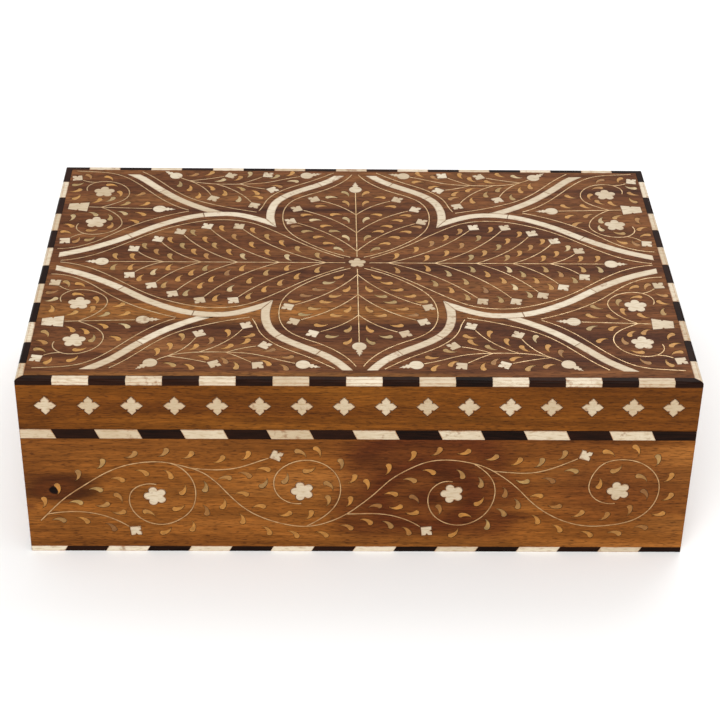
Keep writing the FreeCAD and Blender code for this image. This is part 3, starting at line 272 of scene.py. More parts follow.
@dataclass(frozen=True)
class Sheesham:
    """Sheesham board, planed and waxed: streaked figure, fine fibres, short dark pores and a low gloss.

    Where the board is let out for inlay, the pocket's walls and floor show the dark lac that holds the inlay.
    Fibres and pores are drawn wider than real ones, so that they show. The floor's mango board is drawn in the same
    way, in paler tones. Sizes in millimetres are along and across the grain.
    """

    name: str
    grain: Grain
    dark: str
    middle: str
    light: str
    show: Side | None = None
    patches: tuple[Patch, ...] = ()
    offset_mm: float = 0.0
    pore: str = "2E1408"
    pore_cover: float = 0.55
    lac: str = "160B06"
    lac_depth_mm: tuple[float, float] = (0.04, 1.56)
    figure_mm: tuple[float, float] = (170.0, 13.0)
    rings_mm: tuple[float, float] = (60.0, 1.8)
    fibre_mm: tuple[float, float] = (8.0, 0.5)
    mottle_mm: tuple[float, float] = (16.0, 8.0)
    pores_mm: tuple[float, float] = (3.4, 0.45)
    rings_shade: tuple[float, float] = (0.8, 1.17)
    fibre_shade: tuple[float, float] = (0.75, 1.23)
    mottle_shade: tuple[float, float] = (0.88, 1.1)
    relief_mm: float = 0.05
    gloss: tuple[float, float] = (0.42, 0.55)
    shine: float = 0.05

    def material(self) -> bpy.types.Material:
        """Build the board's material.

        Returns:
            The finished material.
        """
        material, shader, place = start_material(self.name)
        tree = material.node_tree
        shifted = add_node(tree, "ShaderNodeVectorMath", {0: place, 1: (self.offset_mm * MM,) * 3},
                           operation="ADD").outputs[0]
        streaks = []
        for size_mm, detail, distortion in (
                (self.figure_mm, 3.0, 0.5), (self.rings_mm, 2.0, 0.2), (self.fibre_mm, 2.0, 0.0),
                (self.mottle_mm, 2.0, 0.0), (self.pores_mm, 1.0, 0.0)):
            spot = add_node(tree, "ShaderNodeMapping", {"Vector": shifted, "Scale": self.grain.scale(*size_mm)})
            noise = add_node(tree, "ShaderNodeTexNoise", {
                "Vector": spot.outputs[0], "Scale": 1.0, "Detail": detail, "Distortion": distortion})
            streaks.append(noise.outputs["Fac"])
        figure, rings, fibre, mottle, vessels = streaks
        pores = add_node(tree, "ShaderNodeMapRange", {0: vessels, 1: 0.55, 2: 0.66, 3: 0.0, 4: 1.0}).outputs[0]
        tint = add_node(tree, "ShaderNodeValToRGB", {"Fac": figure}, stops=[
            (0.30, self.dark), (0.50, self.middle), (0.68, self.light)]).outputs["Color"]
        for patch in self.patches:
            tint = add_node(tree, "ShaderNodeMixRGB", {
                "Fac": patch.mask(tree, place, figure), "Color1": tint,
                "Color2": colour(patch.tone)}).outputs["Color"]
        for pattern, (low, high) in ((rings, self.rings_shade), (fibre, self.fibre_shade),
                                     (mottle, self.mottle_shade)):
            shade = add_node(tree, "ShaderNodeMapRange", {0: pattern, 1: 0.32, 2: 0.68, 3: low, 4: high})
            tint = add_node(tree, "ShaderNodeMixRGB", {"Fac": 1.0, "Color1": tint, "Color2": shade.outputs[0]},
                            blend_type="MULTIPLY").outputs["Color"]
        pored = add_node(tree, "ShaderNodeMath", {0: pores, 1: self.pore_cover}, operation="MULTIPLY").outputs[0]
        tint = add_node(tree, "ShaderNodeMixRGB", {
            "Fac": pored, "Color1": tint, "Color2": colour(self.pore)}).outputs["Color"]
        if self.show:
            tint = add_node(tree, "ShaderNodeMixRGB", {
                "Fac": self.sunk(tree, place), "Color1": tint, "Color2": colour(self.lac)}).outputs["Color"]
        height = add_node(tree, "ShaderNodeMath", {0: fibre, 1: pores}, operation="SUBTRACT").outputs[0]
        bump = add_node(tree, "ShaderNodeBump", {
            "Height": height, "Strength": 0.35, "Distance": self.relief_mm * MM})
        rough = add_node(tree, "ShaderNodeMapRange", {
            0: figure, 1: 0.3, 2: 0.7, 3: self.gloss[0], 4: self.gloss[1]})
        connect(shader, {"Base Color": tint, "Roughness": rough.outputs[0], "Normal": bump.outputs[0],
                         "Specular IOR Level": self.shine})
        return material

    def sunk(self, tree: bpy.types.NodeTree, place: bpy.types.NodeSocket) -> bpy.types.NodeSocket:
        """Mask of the pockets that are cut into the shown face.

        Args:
            tree: The board's node tree.
            place: Object coordinates.

        Returns:
            The socket that gives the mask.
        """
        near, far = (depth * MM for depth in self.lac_depth_mm)
        above = add_node(tree, "ShaderNodeVectorMath", {0: place, 1: self.show.normal}, operation="DOT_PRODUCT")
        depth = add_node(tree, "ShaderNodeMath", {0: self.show.reach, 1: above.outputs["Value"]},
                         operation="SUBTRACT")
        return add_node(tree, "ShaderNodeMath", {0: depth.outputs[0], 1: (near + far) / 2, 2: (far - near) / 2},
                        operation="COMPARE").outputs[0]


@dataclass(frozen=True)
class Bone:
    """Camel bone, sawn and polished: cream, with yellower pieces, fine fibres and canals and a few brown stains.

    A piece's tone attribute is its age, and its rim attribute is where lac has stained its edge. The canals are
    drawn wider than real ones, so that they show.
    """

    name: str = "polished_bone"
    pale: str = "D8CBB3"
    aged: str = "B7A283"
    canal: str = "9C7F58"
    stain: str = "7E5330"
    rim: str = "9A6030"
    cloud_mm: float = 9.0
    canals_mm: tuple[float, float] = (4.0, 0.8)
    stained_area_mm: float = 21.0
    pits_mm: float = 2.4
    relief_mm: float = 0.04
    roughness: float = 0.38
    ior: float = 1.54
    shine: float = 0.25

    def material(self) -> bpy.types.Material:
        """Build the bone's material.

        Returns:
            The finished material.
        """
        material, shader, place = start_material(self.name)
        tree = material.node_tree
        tone = add_node(tree, "ShaderNodeAttribute", attribute_name="tone").outputs["Fac"]
        edge = add_node(tree, "ShaderNodeAttribute", attribute_name="rim").outputs["Fac"]
        along, across = (1 / (size * MM) for size in self.canals_mm)
        drawn = add_node(tree, "ShaderNodeMapping", {"Vector": place, "Scale": (along, across, across)})
        canals = add_node(tree, "ShaderNodeTexNoise", {
            "Vector": drawn.outputs[0], "Scale": 1.0, "Detail": 2.0}).outputs["Fac"]
        cloud, area, pits = (
            add_node(tree, "ShaderNodeTexNoise", {
                "Vector": place, "Scale": 1 / (size * MM), "Detail": detail}).outputs["Fac"]
            for size, detail in ((self.cloud_mm, 2.0), (self.stained_area_mm, 1.0), (self.pits_mm, 2.0)))
        age = add_node(tree, "ShaderNodeMath", {0: cloud, 1: 0.55, 2: tone}, operation="MULTIPLY_ADD").outputs[0]
        pitted = add_node(tree, "ShaderNodeMath", {0: area, 1: pits}, operation="MULTIPLY").outputs[0]
        tint = colour(self.pale)
        for pattern, low, high, most, code in (
                (age, 0.25, 1.35, 1.0, self.aged), (canals, 0.50, 0.75, 0.7, self.canal),
                (pitted, 0.36, 0.46, 0.6, self.stain)):
            share = add_node(tree, "ShaderNodeMapRange", {0: pattern, 1: low, 2: high, 3: 0.0, 4: most})
            tint = add_node(tree, "ShaderNodeMixRGB", {
                "Fac": share.outputs[0], "Color1": tint, "Color2": colour(code)}).outputs["Color"]
        uneven = add_node(tree, "ShaderNodeMapRange", {0: pits, 1: 0.3, 2: 0.65, 3: 0.25, 4: 0.85})
        blush = add_node(tree, "ShaderNodeMath", {0: uneven.outputs[0], 1: edge}, operation="MULTIPLY").outputs[0]
        tint = add_node(tree, "ShaderNodeMixRGB", {
            "Fac": blush, "Color1": tint, "Color2": colour(self.rim)}).outputs["Color"]
        bump = add_node(tree, "ShaderNodeBump", {
            "Height": canals, "Strength": 0.2, "Distance": self.relief_mm * MM}, invert=True)
        connect(shader, {"Base Color": tint, "Normal": bump.outputs[0], "Roughness": self.roughness,
                         "IOR": self.ior, "Specular IOR Level": self.shine})
        return material


@dataclass(frozen=True)
class Ebony:
    """Ebony, sawn and polished: near black with a red-brown streak here and there."""

    name: str = "polished_ebony"
    black: str = "100603"
    streak: str = "281309"
    streak_mm: tuple[float, float] = (11.0, 0.8)
    relief_mm: float = 0.04
    roughness: float = 0.42
    shine: float = 0.05

    def material(self) -> bpy.types.Material:
        """Build the ebony's material.

        Returns:
            The finished material.
        """
        material, shader, place = start_material(self.name)
        tree = material.node_tree
        tone = add_node(tree, "ShaderNodeAttribute", attribute_name="tone").outputs["Fac"]
        along, across = (1 / (size * MM) for size in self.streak_mm)
        spot = add_node(tree, "ShaderNodeMapping", {"Vector": place, "Scale": (along, along, across)})
        noise = add_node(tree, "ShaderNodeTexNoise", {
            "Vector": spot.outputs[0], "Scale": 1.0, "Detail": 3.0}).outputs["Fac"]
        toned = add_node(tree, "ShaderNodeMath", {0: tone, 1: 0.35, 2: noise}, operation="MULTIPLY_ADD")
        share = add_node(tree, "ShaderNodeMapRange", {0: toned.outputs[0], 1: 0.42, 2: 0.95, 3: 0.0, 4: 1.0})
        tint = add_node(tree, "ShaderNodeMixRGB", {
            "Fac": share.outputs[0], "Color1": colour(self.black), "Color2": colour(self.streak)})
        bump = add_node(tree, "ShaderNodeBump", {
            "Height": noise, "Strength": 0.2, "Distance": self.relief_mm * MM})
        connect(shader, {"Base Color": tint.outputs["Color"], "Normal": bump.outputs[0],
                         "Roughness": self.roughness, "Specular IOR Level": self.shine})
        return material


@dataclass(frozen=True)
class Horn:
    """Horn, cut and polished: amber to grey-tan from leaf to leaf, with cloudy streaks and a soft gloss."""

    name: str
    amber: str
    tan: str
    deep: str
    pale: str
    cloud_mm: float = 2.2
    relief_mm: float = 0.05
    roughness: float = 0.4
    ior: float = 1.55
    shine: float = 0.25

    def material(self) -> bpy.types.Material:
        """Build the horn's material.

        Returns:
            The finished material.
        """
        material, shader, place = start_material(self.name)
        tree = material.node_tree
        tone = add_node(tree, "ShaderNodeAttribute", attribute_name="tone").outputs["Fac"]
        leaf = add_node(tree, "ShaderNodeValToRGB", {"Fac": tone}, stops=[
            (0.0, self.deep), (0.2, self.amber), (0.62, self.amber), (0.88, self.tan), (1.0, self.pale)])
        cloud = add_node(tree, "ShaderNodeTexNoise", {
            "Vector": place, "Scale": 1 / (self.cloud_mm * MM), "Detail": 2.0}).outputs["Fac"]
        shade = add_node(tree, "ShaderNodeMapRange", {0: cloud, 1: 0.3, 2: 0.7, 3: 0.78, 4: 1.2})
        tint = add_node(tree, "ShaderNodeMixRGB", {
            "Fac": 1.0, "Color1": leaf.outputs["Color"], "Color2": shade.outputs[0]}, blend_type="MULTIPLY")
        bump = add_node(tree, "ShaderNodeBump", {
            "Height": cloud, "Strength": 0.2, "Distance": self.relief_mm * MM})
        connect(shader, {"Base Color": tint.outputs["Color"], "Normal": bump.outputs[0],
                         "Roughness": self.roughness, "IOR": self.ior, "Specular IOR Level": self.shine})
        return material


@dataclass(frozen=True)
class Lac:
    """Lac and sawdust filler round an inlaid piece: near black, matt and a little uneven."""

    name: str = "dark_lac"
    dark: str = "1A0D07"
    worn: str = "33190B"
    wear_mm: float = 1.5
    roughness: float = 0.6
    shine: float = 0.2

    def material(self) -> bpy.types.Material:
        """Build the filler's material.

        Returns:
            The finished material.
        """
        material, shader, place = start_material(self.name)
        tree = material.node_tree
        noise = add_node(tree, "ShaderNodeTexNoise", {
            "Vector": place, "Scale": 1 / (self.wear_mm * MM), "Detail": 2.0})
        tint = add_node(tree, "ShaderNodeValToRGB", {"Fac": noise.outputs["Fac"]},
                        stops=[(0.35, self.dark), (0.7, self.worn)])
        connect(shader, {"Base Color": tint.outputs["Color"], "Roughness": self.roughness,
                         "Specular IOR Level": self.shine})
        return material


@dataclass(frozen=True)
class Metal:
    """Wrought metal: a base colour that dulls in patches, with fine scratches.

    The scratches are drawn coarser than real ones, so that they show.
    """

    name: str
    bright: str
    dull: str
    roughness: float
    patch_mm: float
    metallic: float = 1.0
    scratch_mm: float = 0.4
    relief_mm: float = 0.03

    def material(self) -> bpy.types.Material:
        """Build the metal's material.

        Returns:
            The finished material.
        """
        material, shader, place = start_material(self.name)
        tree = material.node_tree
        patch = add_node(tree, "ShaderNodeTexNoise", {
            "Vector": place, "Scale": 1 / (self.patch_mm * MM), "Detail": 3.0}).outputs["Fac"]
        tint = add_node(tree, "ShaderNodeValToRGB", {"Fac": patch}, stops=[(0.38, self.bright), (0.66, self.dull)])
        rough = add_node(tree, "ShaderNodeMapRange", {
            0: patch, 1: 0.3, 2: 0.7, 3: self.roughness - 0.08, 4: self.roughness + 0.12})
        scratches = add_node(tree, "ShaderNodeTexNoise", {
            "Vector": place, "Scale": 1 / (self.scratch_mm * MM), "Detail": 1.0})
        bump = add_node(tree, "ShaderNodeBump", {
            "Height": scratches.outputs["Fac"], "Strength": 0.15, "Distance": self.relief_mm * MM})
        connect(shader, {"Base Color": tint.outputs["Color"], "Roughness": rough.outputs[0],
                         "Normal": bump.outputs[0], "Metallic": self.metallic})
        return material


@dataclass(frozen=True)
class Velvet:
    """Cotton velvet: short pile that shades with its lie, a matt ground and a pale sheen at a low angle.

    The pile is drawn coarser than real pile, so that it shows.
    """

    name: str = "cotton_velvet"
    deep: str = "3E0A12"
    lit: str = "6E1722"
    sheen: str = "D9838C"
    lie_mm: float = 34.0
    pile_mm: float = 0.7
    relief_mm: float = 0.3
    roughness: float = 0.9

    def material(self) -> bpy.types.Material:
        """Build the cloth's material.

        Returns:
            The finished material.
        """
        material, shader, place = start_material(self.name)
        tree = material.node_tree
        lie = add_node(tree, "ShaderNodeTexNoise", {
            "Vector": place, "Scale": 1 / (self.lie_mm * MM), "Detail": 3.0, "Distortion": 0.8}).outputs["Fac"]
        pile = add_node(tree, "ShaderNodeTexNoise", {
            "Vector": place, "Scale": 1 / (self.pile_mm * MM), "Detail": 2.0}).outputs["Fac"]
        mixed = add_node(tree, "ShaderNodeMath", {0: pile, 1: 0.45, 2: lie}, operation="MULTIPLY_ADD").outputs[0]
        tint = add_node(tree, "ShaderNodeValToRGB", {"Fac": mixed}, stops=[(0.5, self.deep), (0.95, self.lit)])
        bump = add_node(tree, "ShaderNodeBump", {
            "Height": pile, "Strength": 0.6, "Distance": self.relief_mm * MM})
        connect(shader, {"Base Color": tint.outputs["Color"], "Normal": bump.outputs[0],
                         "Roughness": self.roughness, "Sheen Weight": 0.7, "Sheen Roughness": 0.35,
                         "Sheen Tint": colour(self.sheen)})
        return material


class Palette:
    """Finishes that several pieces share, each made once."""

    def __init__(self) -> None:
        """Make the shared materials."""
        self.bone = Bone().material()
        self.ebony = Ebony().material()
        self.wall_horn = Horn("polished_horn_walls", "A46E2C", "8C6636", "774C20", "9E7A44").material()
        self.lid_horn = Horn("polished_horn_lid", "AC7A38", "947848", "855A2B", "BFA67C").material()
        self.lac = Lac().material()
        self.wall_wire = Metal("dulled_brass_wire_walls", "D2A979", "B38658", 0.45, 3.0, 0.8).material()
        # The lid's wire is drawn paler than the walls' wire. The extra paleness is painted highlight, standing in
        # for the glints on the top's thin wires.
        self.lid_wire_painted_highlight = Metal("dulled_brass_wire_lid", "D7B78C", "B79266", 0.45, 3.0, 0.8).material()
        self.brass = Metal("cast_brass", "C9A25A", "8E6B35", 0.34, 6.0).material()
        self.velvet = Velvet().material()


def wear(node: str, material: bpy.types.Material) -> None:
    """Give a solid that is shown as it is a finish.

    Args:
        node: Name of the solid.
        material: Its finish.
    """
    slots = frame["nodes"][node].data.materials
    slots.clear()
    slots.append(material)
    LOG.info("finished %s with %s", node, material.name)


def merged_copy(node: str) -> bmesh.types.BMesh:
    """Copy a solid's mesh with its loose triangles joined.

    Args:
        node: Name of the solid.

    Returns:
        The joined mesh, for the caller to free.
    """
    copy = bmesh.new()
    copy.from_mesh(frame["nodes"][node].data)
    bmesh.ops.remove_doubles(copy, verts=copy.verts, dist=MERGE_MM * MM)
    return copy


def islands(copy: bmesh.types.BMesh) -> list[list[bmesh.types.BMFace]]:
    """Split a mesh into its separate solids.

    Args:
        copy: The joined mesh.

    Returns:
        The faces of each solid, in the mesh's own order.
    """
    seen: set[int] = set()
    copy.faces.index_update()
    groups = []
    for face in copy.faces:
        if face.index in seen:
            continue
        seen.add(face.index)
        group, open_faces = [], [face]
        while open_faces:
            present = open_faces.pop()
            group.append(present)
            for edge in present.edges:
                for other in edge.link_faces:
                    if other.index not in seen:
                        seen.add(other.index)
                        open_faces.append(other)
        groups.append(group)
    return groups


def place_piece(name: str, mesh: bpy.types.Mesh, node: str) -> bpy.types.Object:
    """Put a finished mesh in the scene in place of a solid.

    Args:
        name: Name of the new piece.
        mesh: Its mesh, in the box's frame.
        node: The solid that it stands for.

    Returns:
        The new object.
    """
    piece = bpy.data.objects.new(name, mesh)
    bpy.context.scene.collection.objects.link(piece)
    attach(piece, frame["nodes"][node]["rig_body"])
    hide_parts(node)
    LOG.info("made %s with %d faces", name, len(mesh.polygons))
    return piece


@dataclass
class CutPieces:
    """Bone or ebony pieces of one solid node, each with its own tone, eased edges and a lac line round it."""

    node: str
    slot: str
    show: Side | None = None
    lac_line_mm: float = 0.0
    ease_mm: float = 0.0
    rim_mm: float = 0.35
    age: tuple[float, float] = (0.0, 1.0)
    seed: int = 3
    flat_deg: float = 0.4
    sharp_deg: float = 40.0

    def build(self) -> bpy.types.Mesh:
        """Copy the solids, ease their edges and mark each with a tone.

        Returns:
            The finished mesh, with lac faces in the second material slot.
        """
        copy = merged_copy(self.node)
        layer = copy.faces.layers.float.new("tone")
        rim = copy.verts.layers.float.new("rim")
        bmesh.ops.dissolve_limit(copy, angle_limit=math.radians(self.flat_deg), verts=copy.verts, edges=copy.edges)
        # Tones are drawn here, because the bevel doesn't keep the order of the faces from run to run.
        chance = random.Random(self.seed)
        for group in islands(copy):
            tone = chance.uniform(*self.age)
            for face in group:
                face[layer] = tone
        if self.ease_mm:
            sharp = [edge for edge in copy.edges if edge.calc_face_angle(0.0) > math.radians(self.sharp_deg)]
            bmesh.ops.bevel(copy, geom=sharp, offset=self.ease_mm * MM, segments=1, affect="EDGES",
                            clamp_overlap=True)
        shown = [face for face in copy.faces if self.is_shown(face)]
        if self.lac_line_mm:
            ring = bmesh.ops.inset_individual(copy, faces=shown, thickness=self.lac_line_mm * MM)
            for face in ring["faces"]:
                face.material_index = 1
        for vert in {vert for face in shown for vert in face.verts}:
            vert[rim] = 1.0
        bmesh.ops.inset_individual(copy, faces=shown, thickness=self.rim_mm * MM)
        for vert in {vert for face in shown for vert in face.verts}:
            vert[rim] = 0.0
        # The bevel leaves a few corner faces with no tone, so each piece takes its largest face's.
        for group in islands(copy):
            tone = max(group, key=bmesh.types.BMFace.calc_area)[layer]
            for face in group:
                face[layer] = tone
        mesh = bpy.data.meshes.new(f"{self.node}_cut")
        copy.to_mesh(mesh)
        copy.free()
        return mesh

    def is_shown(self, face: bmesh.types.BMFace) -> bool:
        """Whether a face gets the lac line and the stained rim.

        Args:
            face: A face of the copied solids.

        Returns:
            True if it is level with the shown side, or if it is a face of a tile that is wider than its rims.
        """
        if self.show is None:
            return 2 * face.calc_area() / face.calc_perimeter() > 2 * self.rim_mm * MM
        level = self.show.normal.dot(face.calc_center_median()) > self.show.reach - LEVEL_MM * MM
        return level and face.normal.dot(self.show.normal) > FACING

    def dress(self, mesh: bpy.types.Mesh, finish: bpy.types.Material, lac: bpy.types.Material) -> None:
        """Give the pieces their finish and set them in the box.

        Args:
            mesh: The mesh that build gives.
            finish: Material of the pieces.
            lac: Material of the line round them.
        """
        mesh.materials.append(finish)
        mesh.materials.append(lac)
        place_piece(f"{self.node}_cut", mesh, self.node)


def arc_points(start: Vector, middle: Vector, end: Vector, steps: int) -> list[Vector]:
    """Points on the arc through three points, without the last one.

    Args:
        start: First point of the arc.
        middle: A point that the arc passes through.
        end: Last point of the arc.
        steps: Number of points.

    Returns:
        The points from start on.
    """
    one, two = middle - start, end - start
    area = 2 * (one.x * two.y - one.y * two.x)
    centre = start + Vector((two.y * one.length_squared - one.y * two.length_squared,
                             one.x * two.length_squared - two.x * one.length_squared)) / area
    first = (start - centre).to_3d()
    turn = (start - centre).angle_signed(end - centre)
    half = (start - centre).angle_signed(middle - centre)
    sweep = -turn if half * turn > 0 and abs(half) < abs(turn) else -turn + math.copysign(2 * math.pi, turn)
    return [centre + (Matrix.Rotation(sweep * step / steps, 3, "Z") @ first).to_2d() for step in range(steps)]


@dataclass
class LeafPattern:
    """The comma leaf that the vines carry, and the horn leaf cut to it.

    Hollow and belly are how far the two sides bow, as shares of the radius, at these shares of the length.
    """

    lac_line_mm: float
    length_mm: float = 6.8
    radius_mm: float = 1.45
    tail_rise: float = 0.95
    hollow: float = 0.3
    hollow_at: float = -0.06
    belly: float = 0.7
    belly_at: float = -0.15
    depth_mm: float = 1.15
    crown_mm: float = 0.12
    shoulder: float = 0.6
    ease_mm: float = 0.25
    steps: tuple[int, int, int] = (8, 5, 6)

    def outline(self, bend: int) -> list[Vector]:
        """Corners of the leaf, heading along x, counter-clockwise.

        Args:
            bend: 1 if the tail bends to the left of the heading, -1 if to the right.

        Returns:
            Points in millimetres.
        """
        length, radius = self.length_mm, self.radius_mm
        head = length / 2 - radius
        tail = Vector((-length / 2, self.tail_rise * radius))
        low, high = Vector((head, -radius)), Vector((head, radius))
        hollow = Vector((self.hollow_at * length, self.hollow * radius))
        belly = Vector((self.belly_at * length, -self.belly * radius))
        points = arc_points(low, Vector((length / 2, 0)), high, self.steps[0])
        points += arc_points(high, hollow, tail, self.steps[1])
        points += arc_points(tail, belly, low, self.steps[2])
        return points if bend > 0 else [Vector((p.x, -p.y)) for p in reversed(points)]

    def centroid(self, bend: int) -> Vector:
        """Middle of the leaf's area.

        Args:
            bend: The way that its tail bends.

        Returns:
            A point in millimetres.
        """
        points = self.outline(bend)
        total, middle = 0.0, Vector((0, 0))
        for one, two in zip(points, points[1:] + points[:1]):
            cross = one.x * two.y - one.y * two.x
            total += cross
            middle += (one + two) * cross
        return middle / (3 * total)

    def template(self, bend: int) -> bpy.types.Object:
        """Closed leaf with a lac line round a crowned top, its top at z = 0.

        Args:
            bend: The way that its tail bends.

        Returns:
            An object that isn't in the scene.
        """
        form = bmesh.new()
        line = form.faces.layers.float.new("lac_line")
        rim = [form.verts.new((p.x * MM, p.y * MM, -self.crown_mm * MM)) for p in self.outline(bend)]
        foot = [form.verts.new((v.co.x, v.co.y, -self.depth_mm * MM)) for v in rim]
        top = form.faces.new(rim)
        form.faces.new(foot[::-1])
        for one, two, below_two, below_one in zip(rim, rim[1:] + rim[:1], foot[1:] + foot[:1], foot):
            form.faces.new((one, below_one, below_two, two))
        form.normal_update()
        ring = bmesh.ops.inset_individual(form, faces=[top], thickness=self.lac_line_mm * MM, use_even_offset=True)
        for face in ring["faces"]:
            face[line] = 1.0
        for vert in top.verts:
            vert.co.z = -self.shoulder * self.crown_mm * MM
        bmesh.ops.inset_individual(form, faces=[top], thickness=self.ease_mm * MM, use_even_offset=True)
        for vert in top.verts:
            vert.co.z = 0.0
        mesh = bpy.data.meshes.new(f"leaf_pattern_{'left' if bend > 0 else 'right'}")
        form.to_mesh(mesh)
        form.free()
        return bpy.data.objects.new(mesh.name, mesh)


@dataclass
class LeafSetter:
    """Geometry Nodes tree that sets cut leaves at marked points and gives each a tone of its own."""

    pattern: LeafPattern
    horn: bpy.types.Material
    lac: bpy.types.Material
    tree: bpy.types.NodeTree = field(init=False)
    left: bpy.types.Object = field(init=False)
    right: bpy.types.Object = field(init=False)

    def __post_init__(self) -> None:
        """Build the tree and the two leaves that it sets."""
        tree = bpy.data.node_groups.new("set_leaves", "GeometryNodeTree")
        self.tree = tree
        for name, kind in (("Points", "Geometry"), ("Left Leaf", "Object"), ("Right Leaf", "Object"),
                           ("Tone Seed", "Int"), ("Horn", "Material"), ("Lac", "Material")):
            tree.interface.new_socket(name, in_out="INPUT", socket_type=f"NodeSocket{kind}")
        tree.interface.new_socket("Leaves", in_out="OUTPUT", socket_type="NodeSocketGeometry")
        given = add_node(tree, "NodeGroupInput").outputs
        turn = add_node(tree, "GeometryNodeInputNamedAttribute", {"Name": "turn"}, data_type="QUATERNION")
        bend = add_node(tree, "GeometryNodeInputNamedAttribute", {"Name": "bend"}, data_type="FLOAT")
        sets = []
        for leaf, operation in (("Left Leaf", "GREATER_THAN"), ("Right Leaf", "LESS_THAN")):
            chosen = add_node(tree, "FunctionNodeCompare", {0: bend.outputs[0], 1: 0.0}, data_type="FLOAT",
                              operation=operation)
            shape = add_node(tree, "GeometryNodeObjectInfo", {"Object": given[leaf]})
            placed = add_node(tree, "GeometryNodeInstanceOnPoints", {
                "Points": given["Points"], "Selection": chosen.outputs[0], "Instance": shape.outputs["Geometry"],
                "Rotation": turn.outputs[0]})
            sets.append(placed.outputs[0])
        joined = add_node(tree, "GeometryNodeJoinGeometry", {0: sets[::-1]})
        chance = add_node(tree, "FunctionNodeRandomValue", {"Seed": given["Tone Seed"]}, data_type="FLOAT")
        toned = add_node(tree, "GeometryNodeStoreNamedAttribute", {
            "Geometry": joined.outputs[0], "Name": "tone", "Value": chance.outputs[1]},
            data_type="FLOAT", domain="INSTANCE")
        real = add_node(tree, "GeometryNodeRealizeInstances", {0: toned.outputs[0]})
        line = add_node(tree, "GeometryNodeInputNamedAttribute", {"Name": "lac_line"}, data_type="FLOAT")
        edge = add_node(tree, "FunctionNodeCompare", {0: line.outputs[0], 1: 0.5}, data_type="FLOAT",
                        operation="GREATER_THAN")
        horn = add_node(tree, "GeometryNodeSetMaterial", {"Geometry": real.outputs[0], "Material": given["Horn"]})
        dressed = add_node(tree, "GeometryNodeSetMaterial", {
            "Geometry": horn.outputs[0], "Selection": edge.outputs[0], "Material": given["Lac"]})
        add_node(tree, "NodeGroupOutput", {0: dressed.outputs[0]})
        self.left = self.pattern.template(1)
        self.right = self.pattern.template(-1)

    def run(self, points: bpy.types.Mesh, seed: int) -> bpy.types.Mesh:
        """Set leaves at points.

        Args:
            points: Vertices with the attributes turn and bend.
            seed: Seed of the leaves' tones.

        Returns:
            A plain mesh of all the leaves.
        """
        holder = bpy.data.objects.new("leaf_points", points)
        bpy.context.scene.collection.objects.link(holder)
        modifier = holder.modifiers.new("set_leaves", "NODES")
        modifier.node_group = self.tree
        values = {"Left Leaf": self.left, "Right Leaf": self.right, "Tone Seed": seed,
                  "Horn": self.horn, "Lac": self.lac}
        for item in self.tree.interface.items_tree:
            if item.in_out == "INPUT" and item.name in values:
                modifier[item.identifier] = values[item.name]
        graph = bpy.context.evaluated_depsgraph_get()
        mesh = bpy.data.meshes.new_from_object(holder.evaluated_get(graph), preserve_all_data_layers=True,
                                               depsgraph=graph)
        bpy.data.objects.remove(holder)
        return mesh


@dataclass
class Leaves:
    """Horn leaves of one face, set where the solid leaves are."""

    node: str
    show: Side
    seed: int

    def points(self, pattern: LeafPattern) -> bpy.types.Mesh:
        """Read the place, heading and bend of each solid leaf.

        Args:
            pattern: The leaf that they were cut to.

        Returns:
            A mesh of one vertex for each leaf.
        """
        right, up, normal = self.show.right, self.show.up, self.show.normal
        copy = merged_copy(self.node)
        spots, turns, bends = [], [], []
        for group in islands(copy):
            shown = [face for face in group if face.normal.dot(normal) > FACING]
            corners = {vert for face in shown for vert in face.verts}
            flat = [Vector((vert.co.dot(right), vert.co.dot(up))) / MM for vert in corners]
            total = sum(face.calc_area() for face in shown)
            middle = sum((face.calc_center_median() * face.calc_area() for face in shown), Vector()) / total
            centre = Vector((middle.dot(right), middle.dot(up))) / MM
            spot, heading, bend = self.fit(pattern, flat, centre)
            spots.append((right * spot.x + up * spot.y) * MM + normal * self.show.reach)
            along = right * math.cos(heading) + up * math.sin(heading)
            frame_turn = Matrix((along, normal.cross(along), normal)).transposed()
            turns += list(frame_turn.to_quaternion())
            bends.append(float(bend))
        copy.free()
        mesh = bpy.data.meshes.new(f"{self.node}_points")
        mesh.from_pydata(spots, [], [])
        mesh.attributes.new("turn", "QUATERNION", "POINT").data.foreach_set("value", turns)
        mesh.attributes.new("bend", "FLOAT", "POINT").data.foreach_set("value", bends)
        return mesh

    @staticmethod
    def fit(pattern: LeafPattern, flat: list[Vector], centre: Vector) -> tuple[Vector, float, int]:
        """Fit the leaf pattern to one leaf's corners.

        Args:
            pattern: The leaf that it was cut to.
            flat: The leaf's corners on its face, in millimetres.
            centre: Middle of the leaf's area.

        Returns:
            The leaf's place, its heading in radians and its bend.
        """
        tail = max(flat, key=lambda point: (point - centre).length)
        tip = max(flat, key=lambda point: (point - tail).length)
        head = tip - (tip - tail).normalized() * pattern.radius_mm
        best = None
        for bend in (1, -1):
            local_tail = Vector((-pattern.length_mm / 2, bend * pattern.tail_rise * pattern.radius_mm))
            local_head = Vector((pattern.length_mm / 2 - pattern.radius_mm, 0))
            heading = math.atan2(*(head - tail).yx) - math.atan2(*(local_head - local_tail).yx)
            turned = Matrix.Rotation(heading, 2)
            spot = head - turned @ local_head
            error = (spot + turned @ pattern.centroid(bend) - centre).length
            if best is None or error < best[0]:
                best = (error, spot, heading, bend)
        return best[1:]

    def build(self, setter: LeafSetter) -> None:
        """Set the leaves in the box, in place of the solid ones."""
        mesh = setter.run(self.points(setter.pattern), self.seed)
        place_piece(f"{self.node}_horn", mesh, self.node)


